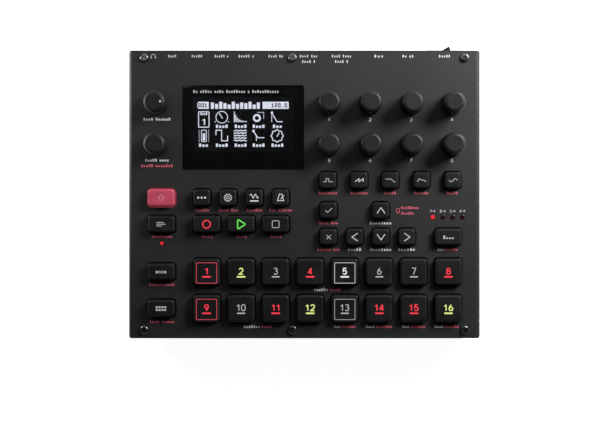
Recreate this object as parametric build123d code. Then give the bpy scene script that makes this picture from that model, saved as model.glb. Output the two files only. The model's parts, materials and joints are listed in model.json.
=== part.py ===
from build123d import *
import os
from math import cos, radians, sin, tan

# Drum machine, in millimetres. +X is the player's right, +Y the rear, +Z up.
# The origin is the middle of the outline in plan, on the surface that the feet stand on. The
# script works from the case's centre, and save moves each solid from there to the origin.

os.makedirs("parts", exist_ok=True)

# ---------------------------------------------------------------- driving sizes

# Case: a bent cover (top and two sides) screwed onto a bent tray (floor, front, rear).
case_width = 215.0
case_depth = 176.0
case_height = 42.0
sheet = 1.2
cover_bend_inside = 1.3
tray_bend_inside = 0.6
plan_corner = 1.8
side_gap = 0.3
flange_reach = 8.2

# Feet and the four threaded mounting points in the floor.
foot_height = 5.0
foot_radius = 8.0
foot_edge_round = 1.0
foot_inset = 19.0
mount_pitch = 100.0
mount_hole_radius = 2.0
clinch_nut_radius = 4.0
clinch_nut_height = 6.0
clinch_neck_radius = 2.8
press_gap = 0.05

# Keys: a hollow cap with a lip that stops it under the cover, on a plunger.
step_key_size = 16.5
small_key_size = 10.5
key_corner = 2.2
key_top_round = 1.5
key_rise = 4.5
key_travel = 1.2
key_hole_gap = 0.8
key_lip = 1.15
key_lip_thickness = 1.2
key_lip_rest_gap = 0.3
key_wall = 1.4
key_roof = 1.5

# Key switches and their lamps.
switch_size = 6.2
switch_height = 3.6
switch_key_gap = 1.5
switch_floor = 0.6
plunger_radius = 1.6
plunger_gap = 0.15
plunger_engagement = 1.4
plunger_head_radius = 2.8
plunger_head_thickness = 1.0
key_lamp_offset = 4.6
key_lamp_width = 1.6
key_lamp_height = 0.6

# Knobs: a cap pressed on a metal shaft that turns in the encoder's bushing.
knob_rise = 16.0
knob_gap = 0.6
knob_base_radius = 6.9
knob_top_radius = 6.4
knob_top_round = 2.0
knob_cavity_gap = 1.5
knob_roof = 2.0
shaft_radius = 3.0
shaft_press_gap = 0.02
shaft_running_gap = 0.05
shaft_end_gap = 0.4
bushing_radius = 3.5
bushing_rise = 4.5
bushing_hole_gap = 0.3
encoder_size = 12.0
encoder_gap = 1.3
encoder_floor = 1.0
potentiometer_radius = 8.5
pointer_radius = 0.6
pointer_depth = 0.3
pointer_inset = 0.65

# Display: a window glued under the cover, above the module's glass.
window_corner = 1.2
window_hole_gap = 0.15
window_proud = 0.3
window_flange = 3.0
window_flange_thickness = 1.5
glass_gap = 0.4
glass_side_inset = 4.0
glass_end_inset = 6.7
glass_thickness = 1.8
carrier_side_inset = 1.0
carrier_end_inset = 2.7
header_width = 40.0
header_depth = 2.5
glass_shift_rear = 2.0

# Indicator lamps in the cover.
page_lamp_radius = 1.45
status_lamp_radius = 1.15
lamp_proud = 0.3
lamp_hole_gap = 0.1
lamp_chip_height = 0.9
page_lamp_pitch = 6.05

# Boards.
board_thickness = 1.6
control_board_side = 5.0
control_board_front = 8.0
control_board_rear = 16.0
main_board_side = 7.5
main_board_front = 66.0
main_board_rear = 3.5
main_board_rise = 8.0
board_link_width = 40.0
board_link_depth = 6.0
board_link_inset = 5.0
chip_thickness = 1.5
chip_row_inset = 46.0
chips = ((30.0, 23.0), (62.0, 12.0), (-62.0, 10.0))

# Sockets in the rear wall.
socket_gap = 0.2
jack_width = 14.0
jack_depth = 22.0
jack_height = 12.5
jack_nose_radius = 5.0
jack_bore_radius = 3.25
jack_bore_depth = 18.0
din_width = 19.0
din_depth = 13.0
din_height = 20.0
din_nose_radius = 8.5
din_slot_outer = 7.0
din_slot_inner = 5.4
din_slot_depth = 9.0
din_pin_circle = 3.75
din_pin_radius = 0.8
din_pin_depth = 6.0
din_pin_count = 5
usb_width = 12.0
usb_depth = 16.0
usb_height = 11.0
usb_mouth_width = 8.5
usb_mouth_height = 7.9
usb_mouth_depth = 9.0
usb_tongue_width = 5.7
usb_tongue_height = 3.2
usb_tongue_inset = 1.0
dc_width = 9.0
dc_depth = 14.0
dc_height = 11.0
dc_bore_radius = 2.9
dc_bore_depth = 9.5
dc_pin_radius = 1.0
dc_pin_inset = 1.5

# Power rocker: a paddle on two trunnions, tilted one way at rest.
rocker_width = 11.6
rocker_height = 12.0
rocker_tilt = 15.5
rocker_reach = 3.5
rocker_back = 2.0
rocker_gap = 0.4
rocker_edge_round = 0.5
rocker_rise = 16.2
rocker_frame_wall = 2.2
rocker_nose_wall = 1.6
rocker_bezel = 0.8
rocker_bezel_reach = 1.5
trunnion_radius = 1.5
trunnion_length = 1.4

# Fasteners.
screw_radius = 1.45
screw_hole_radius = 1.5
cover_hole_radius = 1.8
screw_length = 5.0
screw_head_radius = 2.6
screw_head_height = 1.6
screw_head_round = 0.8
screw_socket_radius = 1.15
screw_socket_depth = 1.0
spacer_radius = 2.6
spacer_bore_radius = 1.3
spacer_clearance = 0.3
board_screw_radius = 1.25
board_screw_head_radius = 2.4
board_screw_head_height = 1.6
board_screw_length = 4.0
screw_side_inset = 9.6
screw_middle_inset = 100.2
screw_rear_inset = 4.6
screw_front_inset = 5.2
spacer_side_inset = 7.5
spacer_rear_inset = 20.0
main_spacer_side_inset = 13.5
main_spacer_front_inset = 60.0
main_spacer_middle_inset = 47.5
main_spacer_rear_inset = 32.0

# Panel layout: columns from the side edges, rows from the front and rear edges.
steps_per_row = 8
step_left_inset = 48.0
step_right_inset = 20.0
step_front_inset = 18.5
left_column_inset = 20.3
transport_rise = 7.8
arrow_inset = 61.0
arrow_pitch = 15.9
parameter_inset = 17.2
parameter_pitch = 19.0
knobs_per_row = 4
knob_side_inset = 17.3
knob_rear_inset = 32.6
knob_pitch = 25.05
window_side_inset = 33.1
window_rear_inset = 21.4
window_to_menu = 17.3
window_to_knobs = 15.45
page_lamp_rise = 12.1
status_lamp_drop = 11.7

# The bare strips between the rows share what the case's depth leaves; these are wider by so much.
arrow_strip_extra = 2.15
parameter_strip_extra = 2.25
knob_strip_extra = 4.05
knob_row_strip_extra = 5.6

# Rear wall layout, from the left and right edges.
jack_inset = 11.5
jack_pitch = 15.1
din_inset = 89.9
din_pitch = 20.1
rocker_inset = 22.1

# ---------------------------------------------------------------- levels and edges

floor_under = foot_height
floor_top = floor_under + sheet
panel_top = foot_height + case_height
panel_under = panel_top - sheet
left_edge = -case_width / 2
right_edge = case_width / 2
front_edge = -case_depth / 2
rear_edge = case_depth / 2
rear_inner = rear_edge - sheet

key_lip_top = panel_under - key_lip_rest_gap
key_lip_bottom = key_lip_top - key_lip_thickness
key_top = panel_top + key_rise
key_ceiling = key_top - key_roof
switch_top = key_lip_bottom - key_travel - switch_key_gap
control_top = switch_top - switch_height
control_under = control_top - board_thickness
main_under = floor_top + main_board_rise
main_top = main_under + board_thickness

knob_bottom = panel_top + knob_gap
knob_top = panel_top + knob_rise
bushing_top = panel_top + bushing_rise
knob_cavity_top = bushing_top + shaft_end_gap
encoder_top = panel_under - encoder_gap
shaft_bottom = control_top + encoder_floor + shaft_end_gap

window_under = panel_under - window_flange_thickness
glass_top = window_under - glass_gap
carrier_top = glass_top - glass_thickness
carrier_under = carrier_top - board_thickness

jack_axis = main_top + jack_height / 2
din_axis = main_top + din_height / 2
usb_axis = main_top + usb_height / 2
dc_axis = main_top + dc_height / 2
socket_face = rear_inner - socket_gap

# The paddle's outline about its pivot, before it is tilted.
tilt = radians(rocker_tilt)
rocker_half = rocker_width / 2
rocker_edge = rocker_reach + rocker_half * tan(tilt)
rocker_sweep = rocker_half * cos(tilt) + rocker_edge * sin(tilt) + rocker_gap
rocker_back_sweep = rocker_back * cos(tilt) + rocker_half * sin(tilt) + rocker_gap
rocker_pivot = rear_edge + rocker_bezel - rocker_reach * cos(tilt)
rocker_axis = main_top + rocker_rise
rocker_housing = 2 * (rocker_sweep + max(rocker_frame_wall, rocker_nose_wall + rocker_bezel_reach))
rocker_overhang = rocker_bezel + rocker_width * sin(tilt)

# ---------------------------------------------------------------- layout

left_column = left_edge + left_column_inset
step_first = left_edge + step_left_inset
step_last = right_edge - step_right_inset
step_pitch = (step_last - step_first) / (steps_per_row - 1)
arrow_centre = right_edge - arrow_inset

front_step_row = front_edge + step_front_inset
rear_knob_row = rear_edge - knob_rear_inset
row_steps = [
    step_key_size,
    (step_key_size + small_key_size) / 2 + arrow_strip_extra,
    small_key_size,
    small_key_size + parameter_strip_extra,
    small_key_size / 2 + knob_base_radius + knob_strip_extra,
    knob_base_radius * 2 + knob_row_strip_extra,
]
strip = (rear_knob_row - front_step_row - sum(row_steps)) / len(row_steps)
rear_step_row = front_step_row + row_steps[0] + strip
lower_arrow_row = rear_step_row + row_steps[1] + strip
upper_arrow_row = lower_arrow_row + row_steps[2] + strip
parameter_row = upper_arrow_row + row_steps[3] + strip
front_knob_row = parameter_row + row_steps[4] + strip
transport_row = lower_arrow_row + transport_rise
menu_row = upper_arrow_row + transport_rise

step_columns = [step_first + step_pitch * i for i in range(steps_per_row)]
transport_columns = step_columns[:3]
# The four menu keys spread over the three wider transport keys.
menu_first = transport_columns[0] - (step_key_size - small_key_size) / 2
menu_last = transport_columns[-1] + (step_key_size - small_key_size) / 2
menu_columns = [menu_first + (menu_last - menu_first) * i / 3 for i in range(4)]
parameter_columns = [right_edge - parameter_inset - parameter_pitch * i for i in reversed(range(5))]
knob_columns = [right_edge - knob_side_inset - knob_pitch * i for i in reversed(range(knobs_per_row))]
left_knob_column = left_edge + knob_side_inset
page_column = step_columns[-1]
page_lamp_row = lower_arrow_row + page_lamp_rise
page_lamps = [(page_column + page_lamp_pitch * (i - 1.5), page_lamp_row) for i in range(4)]
status_lamp = (left_column, transport_row - status_lamp_drop)

window_left, window_right = left_edge + window_side_inset, knob_columns[0] - window_to_knobs
window_front, window_rear = menu_row + window_to_menu, rear_edge - window_rear_inset
window_width, window_depth = window_right - window_left, window_rear - window_front
window_x, window_y = (window_left + window_right) / 2, (window_front + window_rear) / 2
glass_y = window_y + glass_shift_rear
glass_width, glass_depth = window_width - 2 * glass_side_inset, window_depth - 2 * glass_end_inset
carrier_width, carrier_depth = window_width - 2 * carrier_side_inset, window_depth - 2 * carrier_end_inset

# Each key: node name, centre x, centre y, width, depth.
keys = []
for row, y in enumerate((rear_step_row, front_step_row)):
    for i, x in enumerate(step_columns):
        keys.append((f"step_key_{steps_per_row * row + i + 1:02d}", x, y, step_key_size, step_key_size))
for name, y in (
    ("function_key", menu_row),
    ("track_key", transport_row),
    ("pattern_key", rear_step_row),
    ("bank_key", front_step_row),
):
    keys.append((name, left_column, y, step_key_size, small_key_size))
for name, x in zip(("sound_menu_key", "settings_key", "effects_key", "metronome_key"), menu_columns):
    keys.append((name, x, menu_row, small_key_size, small_key_size))
for name, x in zip(("record_key", "play_key", "stop_key"), transport_columns):
    keys.append((name, x, transport_row, step_key_size, small_key_size))
for i, x in enumerate(parameter_columns):
    keys.append((f"parameter_key_{i + 1}", x, parameter_row, small_key_size, small_key_size))
for name, column, y in (
    ("yes_key", -2, upper_arrow_row),
    ("up_key", 0, upper_arrow_row),
    ("no_key", -2, lower_arrow_row),
    ("left_key", -1, lower_arrow_row),
    ("down_key", 0, lower_arrow_row),
    ("right_key", 1, lower_arrow_row),
):
    keys.append((name, arrow_centre + arrow_pitch * column, y, small_key_size, small_key_size))
keys.append(("page_key", page_column, lower_arrow_row, step_key_size, small_key_size))

# Each knob: node name, x, y.
knobs = [("volume_knob", left_knob_column, rear_knob_row), ("level_knob", left_knob_column, front_knob_row)]
for row, y in enumerate((rear_knob_row, front_knob_row)):
    for i, x in enumerate(knob_columns):
        knobs.append((f"data_knob_{knobs_per_row * row + i + 1}", x, y))

# Rear sockets, from left to right.
jack_columns = [left_edge + jack_inset + jack_pitch * i for i in range(5)]
din_columns = [left_edge + din_inset + din_pitch * i for i in range(3)]
rocker_column = right_edge - rocker_inset
# The data socket and the power inlet stand evenly between the last round socket and the rocker's housing.
rear_space = rocker_column - rocker_housing / 2 - din_columns[-1] - din_width / 2 - usb_width - dc_width
usb_column = din_columns[-1] + din_width / 2 + rear_space / 3 + usb_width / 2
dc_column = usb_column + usb_width / 2 + rear_space / 3 + dc_width / 2

screw_columns = (left_edge + screw_side_inset, left_edge + screw_middle_inset, right_edge - screw_side_inset)
screw_rows = (rear_edge - screw_rear_inset, front_edge + screw_front_inset)
case_screws = [(x, y) for x in screw_columns for y in screw_rows]

# The control board's spacers stand between the keys and knobs, clear of the keys' lips.
between_step_rows = (front_step_row + rear_step_row) / 2
above_step_keys = rear_step_row + step_key_size / 2 + key_lip + spacer_clearance + spacer_radius
rear_spacer_row = rear_edge - spacer_rear_inset
control_spacers = [
    ((left_column + step_first) / 2, between_step_rows),
    ((left_column + step_first) / 2, (menu_row + transport_row) / 2),
    (left_edge + spacer_side_inset, rear_spacer_row),
    ((window_right + knob_columns[0]) / 2, rear_spacer_row),
    (knob_columns[2] + knob_pitch / 2, (front_knob_row + rear_knob_row) / 2),
    (arrow_centre - arrow_pitch * 1.5, above_step_keys),
    (right_edge - spacer_side_inset, between_step_rows),
    (right_edge - spacer_side_inset, (parameter_row + page_lamp_row) / 2),
]
main_spacer_front = rear_edge - main_spacer_front_inset
main_spacer_rear = rear_edge - main_spacer_rear_inset
main_spacers = [
    (left_edge + main_spacer_side_inset, main_spacer_front),
    (right_edge - main_spacer_side_inset, main_spacer_front),
    (left_edge + main_spacer_middle_inset, main_spacer_rear),
    (right_edge - main_spacer_middle_inset, main_spacer_rear),
]
mounting_points = [(sx * mount_pitch / 2, sy * mount_pitch / 2) for sx in (-1, 1) for sy in (-1, 1)]
feet = [(sx * (case_width / 2 - foot_inset), sy * (case_depth / 2 - foot_inset))
        for sx in (-1, 1) for sy in (-1, 1)]

# ---------------------------------------------------------------- helpers

# A cut runs this far past the face that it opens.
past = 1.0


def block(x0, x1, y0, y1, z0, z1):
    """A box given by its two corners."""
    return Pos((x0 + x1) / 2, (y0 + y1) / 2, (z0 + z1) / 2) * Box(x1 - x0, y1 - y0, z1 - z0)


def post(x, y, z0, z1, radius):
    """An upright cylinder."""
    return Pos(x, y, (z0 + z1) / 2) * Cylinder(radius, z1 - z0)


def rod(x, z, y0, y1, radius):
    """A cylinder along Y."""
    return Pos(x, (y0 + y1) / 2, z) * Rot(90, 0, 0) * Cylinder(radius, y1 - y0)


def plate(x, y, width, depth, corner, z0, z1):
    """An upright prism with rounded corners in plan."""
    return Pos(x, y, z0) * extrude(RectangleRounded(width, depth, corner), z1 - z0)


def save(node, solids):
    """Writes one node's solids as one STEP file, moved by half of what stands out behind the case."""
    moved = [Pos(0, -rocker_overhang / 2, 0) * solid for solid in solids]
    export_step(Compound(label=node, children=moved), f"parts/{node}.step")


# ---------------------------------------------------------------- case


def bent_channel(width, depth, z0, z1, along, bend_inside, tray):
    """A bent sheet channel along one axis; a cover is open below, a tray is closed below and above."""
    outer = block(-width / 2, width / 2, -depth / 2, depth / 2, z0, z1)
    levels = outer.edges().filter_by(along).group_by(Axis.Z)
    outer = fillet(levels[0] + levels[-1] if tray else levels[-1], bend_inside + sheet)
    reach_x = width / 2 + sheet if along == Axis.X else width / 2 - sheet
    reach_y = depth / 2 + sheet if along == Axis.Y else depth / 2 - sheet
    low = z0 + sheet if tray else z0 - sheet
    inner = block(-reach_x, reach_x, -reach_y, reach_y, low, z1 - sheet)
    levels = inner.edges().filter_by(along).group_by(Axis.Z)
    inner = fillet(levels[0] + levels[-1] if tray else levels[-1], bend_inside)
    return outer - inner


def top_cover():
    """Top plate and the two sides, with every opening in the top."""
    cover = bent_channel(case_width, case_depth, floor_under, panel_top, Axis.Y, cover_bend_inside, False)
    cover = cover & plate(0, 0, case_width, case_depth, plan_corner, floor_under - past, panel_top + past)
    low, high = panel_under - past, panel_top + past
    cuts = []
    for _, x, y, width, depth in keys:
        corner = key_corner + key_hole_gap
        cuts.append(plate(x, y, width + 2 * key_hole_gap, depth + 2 * key_hole_gap, corner, low, high))
    for _, x, y in knobs:
        cuts.append(post(x, y, low, high, bushing_radius + bushing_hole_gap))
    cuts.append(plate(window_x, window_y, window_width + 2 * window_hole_gap,
                      window_depth + 2 * window_hole_gap, window_corner + window_hole_gap, low, high))
    for x, y in page_lamps:
        cuts.append(post(x, y, low, high, page_lamp_radius + lamp_hole_gap))
    cuts.append(post(*status_lamp, low, high, status_lamp_radius + lamp_hole_gap))
    for x, y in case_screws:
        cuts.append(post(x, y, low, high, cover_hole_radius))
    return cover - cuts


def bottom_case():
    """Floor with the front and rear walls and their flanges, and the rear wall's cut-outs."""
    width = case_width - 2 * (sheet + side_gap)
    tray = bent_channel(width, case_depth, floor_under, panel_under, Axis.X, tray_bend_inside, True)
    inner_edge = case_depth / 2 - flange_reach
    low, high = panel_under - sheet - past, panel_under + past
    cuts = [block(-width, width, -inner_edge, inner_edge, low, high)]
    # The flanges' ends are notched to clear the inside of the cover's bends.
    notch, notch_low = width / 2 - cover_bend_inside, panel_under - cover_bend_inside - side_gap
    for side in (-1, 1):
        cuts.append(block(*sorted((side * notch, side * width)), -case_depth, case_depth, notch_low, high))
    for x, y in case_screws:
        cuts.append(post(x, y, low, high, screw_hole_radius))
    for x, y in mounting_points:
        cuts.append(post(x, y, floor_under - past, floor_top + past, clinch_neck_radius + press_gap))
    y0, y1 = rear_inner - past, rear_edge + past
    for x in jack_columns:
        cuts.append(rod(x, jack_axis, y0, y1, jack_nose_radius + socket_gap))
    for x in din_columns:
        cuts.append(rod(x, din_axis, y0, y1, din_nose_radius + socket_gap))
    for x, width, height in ((usb_column, usb_width, usb_height), (dc_column, dc_width, dc_height)):
        half = width / 2 + socket_gap
        cuts.append(block(x - half, x + half, y0, y1, main_top - socket_gap, main_top + height + socket_gap))
    cuts.append(rocker_block(rocker_nose_wall + socket_gap, y0, y1))
    return tray - cuts


def rubber_feet():
    """Four discs under the floor, rounded where they meet the table."""
    for x, y in feet:
        disc = post(x, y, 0, foot_height, foot_radius)
        yield fillet(disc.edges().group_by(Axis.Z)[0], foot_edge_round)


# ---------------------------------------------------------------- keys and switches


def key(x, y, width, depth):
    """A hollow cap with its lip, and the plunger that it presses down."""
    cap = plate(x, y, width, depth, key_corner, key_lip_bottom, key_top)
    cap = fillet(cap.edges().group_by(Axis.Z)[-1], key_top_round)
    cap += plate(x, y, width + 2 * key_lip, depth + 2 * key_lip, key_corner + key_lip,
                 key_lip_bottom, key_lip_top)
    cap -= plate(x, y, width - 2 * key_wall, depth - 2 * key_wall, key_corner / 2,
                 key_lip_bottom - past, key_ceiling)
    plunger = post(x, y, switch_top - plunger_engagement, key_ceiling, plunger_radius)
    plunger += post(x, y, key_ceiling - plunger_head_thickness, key_ceiling, plunger_head_radius)
    return [cap, plunger]


def key_switches():
    """One square housing under each key, with the hole that its plunger sinks into."""
    for _, x, y, _, _ in keys:
        half = switch_size / 2
        housing = block(x - half, x + half, y - half, y + half, control_top, switch_top)
        hole_radius = plunger_radius + plunger_gap
        yield housing - post(x, y, control_top + switch_floor, switch_top + past, hole_radius)


# ---------------------------------------------------------------- knobs and encoders


def knob(x, y, pointer):
    """A cap with its cavity over the bushing, on its shaft; the volume knob has a pointer dot."""
    height = knob_top - knob_bottom
    cap = Pos(x, y, knob_bottom + height / 2) * Cone(knob_base_radius, knob_top_radius, height)
    cap = fillet(cap.edges().group_by(Axis.Z)[-1], knob_top_round)
    cap -= post(x, y, knob_bottom - past, knob_cavity_top, bushing_radius + knob_cavity_gap)
    shaft_top = knob_top - knob_roof
    cap -= post(x, y, knob_cavity_top - past, shaft_top, shaft_radius + shaft_press_gap)
    solids = [cap, post(x, y, shaft_bottom, shaft_top, shaft_radius)]
    if pointer:
        dot_x = x + knob_top_radius - knob_top_round - pointer_inset
        dot = post(dot_x, y, knob_top - pointer_depth, knob_top, pointer_radius)
        solids = [solids[0] - dot, solids[1], dot]
    return solids


def encoders():
    """Nine square encoders and the round volume potentiometer, each with its bushing."""
    for name, x, y in knobs:
        if name == "volume_knob":
            body = post(x, y, control_top, encoder_top, potentiometer_radius)
        else:
            half = encoder_size / 2
            body = block(x - half, x + half, y - half, y + half, control_top, encoder_top)
        bore = post(x, y, control_top + encoder_floor, bushing_top + past, shaft_radius + shaft_running_gap)
        yield body - bore
        yield post(x, y, encoder_top, bushing_top, bushing_radius) - bore


# ---------------------------------------------------------------- display


def display_window():
    """A clear plate that fills the cover's opening, with a flange glued under the cover."""
    top = panel_top + window_proud
    flange = plate(window_x, window_y, window_width + 2 * window_flange, window_depth + 2 * window_flange,
                   window_corner, window_under, panel_under)
    return flange + plate(window_x, window_y, window_width, window_depth, window_corner, window_under, top)


def display_module():
    """The display's glass on its carrier board, and the header that joins it to the control board."""
    x, y = window_x, glass_y
    yield block(x - glass_width / 2, x + glass_width / 2, y - glass_depth / 2, y + glass_depth / 2,
                carrier_top, glass_top)
    yield block(x - carrier_width / 2, x + carrier_width / 2, window_y - carrier_depth / 2,
                window_y + carrier_depth / 2, carrier_under, carrier_top)
    header_y = window_y + carrier_depth / 2 - header_depth
    yield block(x - header_width / 2, x + header_width / 2, header_y - header_depth / 2,
                header_y + header_depth / 2, control_top, carrier_under)


# ---------------------------------------------------------------- boards


def circuit_boards():
    """Control board, main board, the link between them, chips, key lamps and indicator lamps."""
    half = case_width / 2 - control_board_side
    control = block(-half, half, front_edge + control_board_front, rear_edge - control_board_rear,
                    control_under, control_top)
    control_holes = [post(x, y, control_under - past, control_top + past, spacer_bore_radius)
                     for x, y in control_spacers]
    yield control - control_holes
    half = case_width / 2 - main_board_side
    main_front = rear_edge - main_board_front
    main = block(-half, half, main_front, rear_edge - main_board_rear, main_under, main_top)
    yield main - [post(x, y, main_under - past, main_top + past, spacer_bore_radius) for x, y in main_spacers]
    link_y = main_front + board_link_inset
    yield block(window_right - board_link_width, window_right, link_y, link_y + board_link_depth,
                main_top, control_under)
    for chip_x, chip_size in chips:
        chip_y = rear_edge - chip_row_inset
        yield block(chip_x - chip_size / 2, chip_x + chip_size / 2, chip_y - chip_size / 2,
                    chip_y + chip_size / 2, main_top, main_top + chip_thickness)
    half = key_lamp_width / 2
    for _, x, y, _, _ in keys:
        yield block(x + key_lamp_offset - half, x + key_lamp_offset + half, y - half, y + half,
                    control_top, control_top + key_lamp_height)
    for (x, y), radius in [(p, page_lamp_radius) for p in page_lamps] + [(status_lamp, status_lamp_radius)]:
        chip_top = control_top + lamp_chip_height
        yield block(x - radius, x + radius, y - radius, y + radius, control_top, chip_top)
        lens = post(x, y, chip_top, panel_top + lamp_proud, radius)
        yield fillet(lens.edges().group_by(Axis.Z)[-1], lamp_proud)


# ---------------------------------------------------------------- rear sockets


def jack(x):
    """A 6.35 mm jack socket: a body on the board and a nose in the wall, bored blind."""
    body = block(x - jack_width / 2, x + jack_width / 2, socket_face - jack_depth, socket_face,
                 main_top, main_top + jack_height)
    body += rod(x, jack_axis, socket_face - past, rear_edge, jack_nose_radius)
    return body - rod(x, jack_axis, rear_edge - jack_bore_depth, rear_edge + past, jack_bore_radius)


def din_socket(x):
    """A five-pin round socket: an annular slot around a core with five holes on a half circle."""
    body = block(x - din_width / 2, x + din_width / 2, socket_face - din_depth, socket_face,
                 main_top, main_top + din_height)
    body += rod(x, din_axis, socket_face - past, rear_edge, din_nose_radius)
    floor, mouth = rear_edge - din_slot_depth, rear_edge + past
    body -= rod(x, din_axis, floor, mouth, din_slot_outer) - rod(x, din_axis, floor, mouth, din_slot_inner)
    for i in range(din_pin_count):
        angle = radians(180 * i / (din_pin_count - 1))
        pin_x, pin_z = x + din_pin_circle * cos(angle), din_axis - din_pin_circle * sin(angle)
        body -= rod(pin_x, pin_z, rear_edge - din_pin_depth, mouth, din_pin_radius)
    return body


def usb_socket(x):
    """A square-mouthed data socket with the tongue in its mouth."""
    body = block(x - usb_width / 2, x + usb_width / 2, socket_face - usb_depth, rear_edge,
                 main_top, main_top + usb_height)
    floor = rear_edge - usb_mouth_depth
    mouth = block(x - usb_mouth_width / 2, x + usb_mouth_width / 2, floor, rear_edge + past,
                  usb_axis - usb_mouth_height / 2, usb_axis + usb_mouth_height / 2)
    tongue = block(x - usb_tongue_width / 2, x + usb_tongue_width / 2, floor, rear_edge - usb_tongue_inset,
                   usb_axis - usb_tongue_height / 2, usb_axis + usb_tongue_height / 2)
    return body - (mouth - tongue)


def dc_inlet(x):
    """A barrel inlet: the housing with its bore, and the centre pin."""
    body = block(x - dc_width / 2, x + dc_width / 2, socket_face - dc_depth, rear_edge,
                 main_top, main_top + dc_height)
    floor = rear_edge - dc_bore_depth
    yield body - rod(x, dc_axis, floor, rear_edge + past, dc_bore_radius)
    yield rod(x, dc_axis, floor, rear_edge - dc_pin_inset, dc_pin_radius)


def rocker_block(wall, y0, y1):
    """A block around the paddle's opening, larger than it by a wall on every side."""
    half = rocker_sweep + wall
    tall = rocker_height / 2 + rocker_gap + wall
    return block(rocker_column - half, rocker_column + half, y0, y1, rocker_axis - tall, rocker_axis + tall)


def rocker_frame():
    """The housing of the paddle's trunnions: a body on the board, a nose in the wall and a bezel outside."""
    floor = rocker_pivot - rocker_back_sweep
    half = rocker_sweep + rocker_frame_wall
    frame = rocker_block(rocker_frame_wall, floor - rocker_frame_wall, socket_face)
    frame += block(rocker_column - half, rocker_column + half, floor - rocker_frame_wall, socket_face,
                   main_top, rocker_axis)
    frame += rocker_block(rocker_nose_wall, floor, rear_edge)
    frame += rocker_block(rocker_nose_wall + rocker_bezel_reach, rear_edge, rear_edge + rocker_bezel)
    frame -= rocker_block(0, floor, rear_edge + rocker_bezel + past)
    reach = rocker_height / 2 + trunnion_length + rocker_gap / 2
    return frame - post(rocker_column, rocker_pivot, rocker_axis - reach, rocker_axis + reach,
                        trunnion_radius + shaft_running_gap)


def rear_sockets():
    """Every socket that the main board holds behind the rear wall."""
    for x in jack_columns:
        yield jack(x)
    for x in din_columns:
        yield din_socket(x)
    yield usb_socket(usb_column)
    yield from dc_inlet(dc_column)
    yield rocker_frame()


def power_rocker():
    """The paddle, a prism with a shallow V face, tilted right side out, on its trunnions."""
    outline = Polyline((-rocker_half, -rocker_back), (rocker_half, -rocker_back), (rocker_half, rocker_edge),
                       (0, rocker_reach), (-rocker_half, rocker_edge), close=True)
    paddle = Pos(0, 0, -rocker_height / 2) * extrude(make_face(outline), rocker_height)
    corners = paddle.edges().filter_by(Axis.Z).group_by(Axis.Y)[-1]
    paddle = fillet(corners, rocker_edge_round)
    reach = rocker_height / 2 + trunnion_length
    paddle += post(0, 0, -reach, reach, trunnion_radius)
    return [Pos(rocker_column, rocker_pivot, rocker_axis) * Rot(0, 0, rocker_tilt) * paddle]


# ---------------------------------------------------------------- fasteners


def cap_screw(x, y):
    """A round-headed socket screw through the cover into the tray's flange."""
    head = post(x, y, panel_top, panel_top + screw_head_height, screw_head_radius)
    head = fillet(head.edges().group_by(Axis.Z)[-1], screw_head_round)
    socket = Pos(x, y, panel_top + screw_head_height - screw_socket_depth) * extrude(
        RegularPolygon(screw_socket_radius, 6), screw_socket_depth + past)
    return head + post(x, y, panel_top - screw_length, panel_top, screw_radius) - socket


def spacer(x, y, z0, z1):
    """A tubular spacer."""
    return post(x, y, z0, z1, spacer_radius) - post(x, y, z0 - past, z1 + past, spacer_bore_radius)


def board_screw(x, y, face, direction):
    """A screw whose head lies on a board's face; direction is +1 for a head above and -1 for one below."""
    head_end = face + direction * board_screw_head_height
    shank_end = face - direction * (board_thickness + board_screw_length)
    head = post(x, y, min(face, head_end), max(face, head_end), board_screw_head_radius)
    return head + post(x, y, min(face, shank_end), max(face, shank_end), board_screw_radius)


def clinch_nut(x, y):
    """A threaded nut pressed into the floor, its neck flush with the outside."""
    nut = post(x, y, floor_top, floor_top + clinch_nut_height, clinch_nut_radius)
    nut += post(x, y, floor_under, floor_top, clinch_neck_radius)
    return nut - post(x, y, floor_under - past, floor_top + clinch_nut_height + past, mount_hole_radius)


def fasteners():
    """Case screws, spacers with their screws, and the clinch nuts."""
    for x, y in case_screws:
        yield cap_screw(x, y)
    for x, y in control_spacers:
        yield spacer(x, y, control_top, panel_under)
        yield board_screw(x, y, control_under, -1)
    for x, y in main_spacers:
        yield spacer(x, y, floor_top, main_under)
        yield board_screw(x, y, main_top, 1)
    for x, y in mounting_points:
        yield clinch_nut(x, y)


# ---------------------------------------------------------------- export

save("top_cover", [top_cover()])
save("bottom_case", [bottom_case()])
save("rubber_feet", rubber_feet())
save("display_window", [display_window()])
save("display_module", display_module())
save("circuit_boards", circuit_boards())
save("key_switches", key_switches())
save("encoders", encoders())
save("rear_sockets", rear_sockets())
save("fasteners", fasteners())
save("power_rocker", power_rocker())
for node, x, y, width, depth in keys:
    save(node, key(x, y, width, depth))
for node, x, y in knobs:
    save(node, knob(x, y, node == "volume_knob"))
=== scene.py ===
"""Finishes, prints and lit legends for a desktop drum machine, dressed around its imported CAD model."""

import json
import math

import bmesh
import bpy
from bpy.props import FloatProperty, FloatVectorProperty, PointerProperty
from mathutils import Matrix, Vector


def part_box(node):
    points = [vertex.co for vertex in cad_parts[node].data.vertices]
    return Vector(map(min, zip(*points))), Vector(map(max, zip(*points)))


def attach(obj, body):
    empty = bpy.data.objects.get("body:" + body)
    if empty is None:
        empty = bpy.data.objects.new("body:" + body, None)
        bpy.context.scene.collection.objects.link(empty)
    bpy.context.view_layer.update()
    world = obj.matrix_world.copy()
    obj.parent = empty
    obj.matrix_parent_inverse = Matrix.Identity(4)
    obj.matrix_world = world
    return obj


bl_info = {
    "name": "Desktop Drum Machine",
    "version": (1, 0, 0),
    "blender": (4, 5, 0),
    "location": "View3D > Sidebar > Drum Machine",
    "description": "Paint, prints, lit keys, knobs, display and stage of a desktop drum machine",
    "category": "Object",
}

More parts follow.
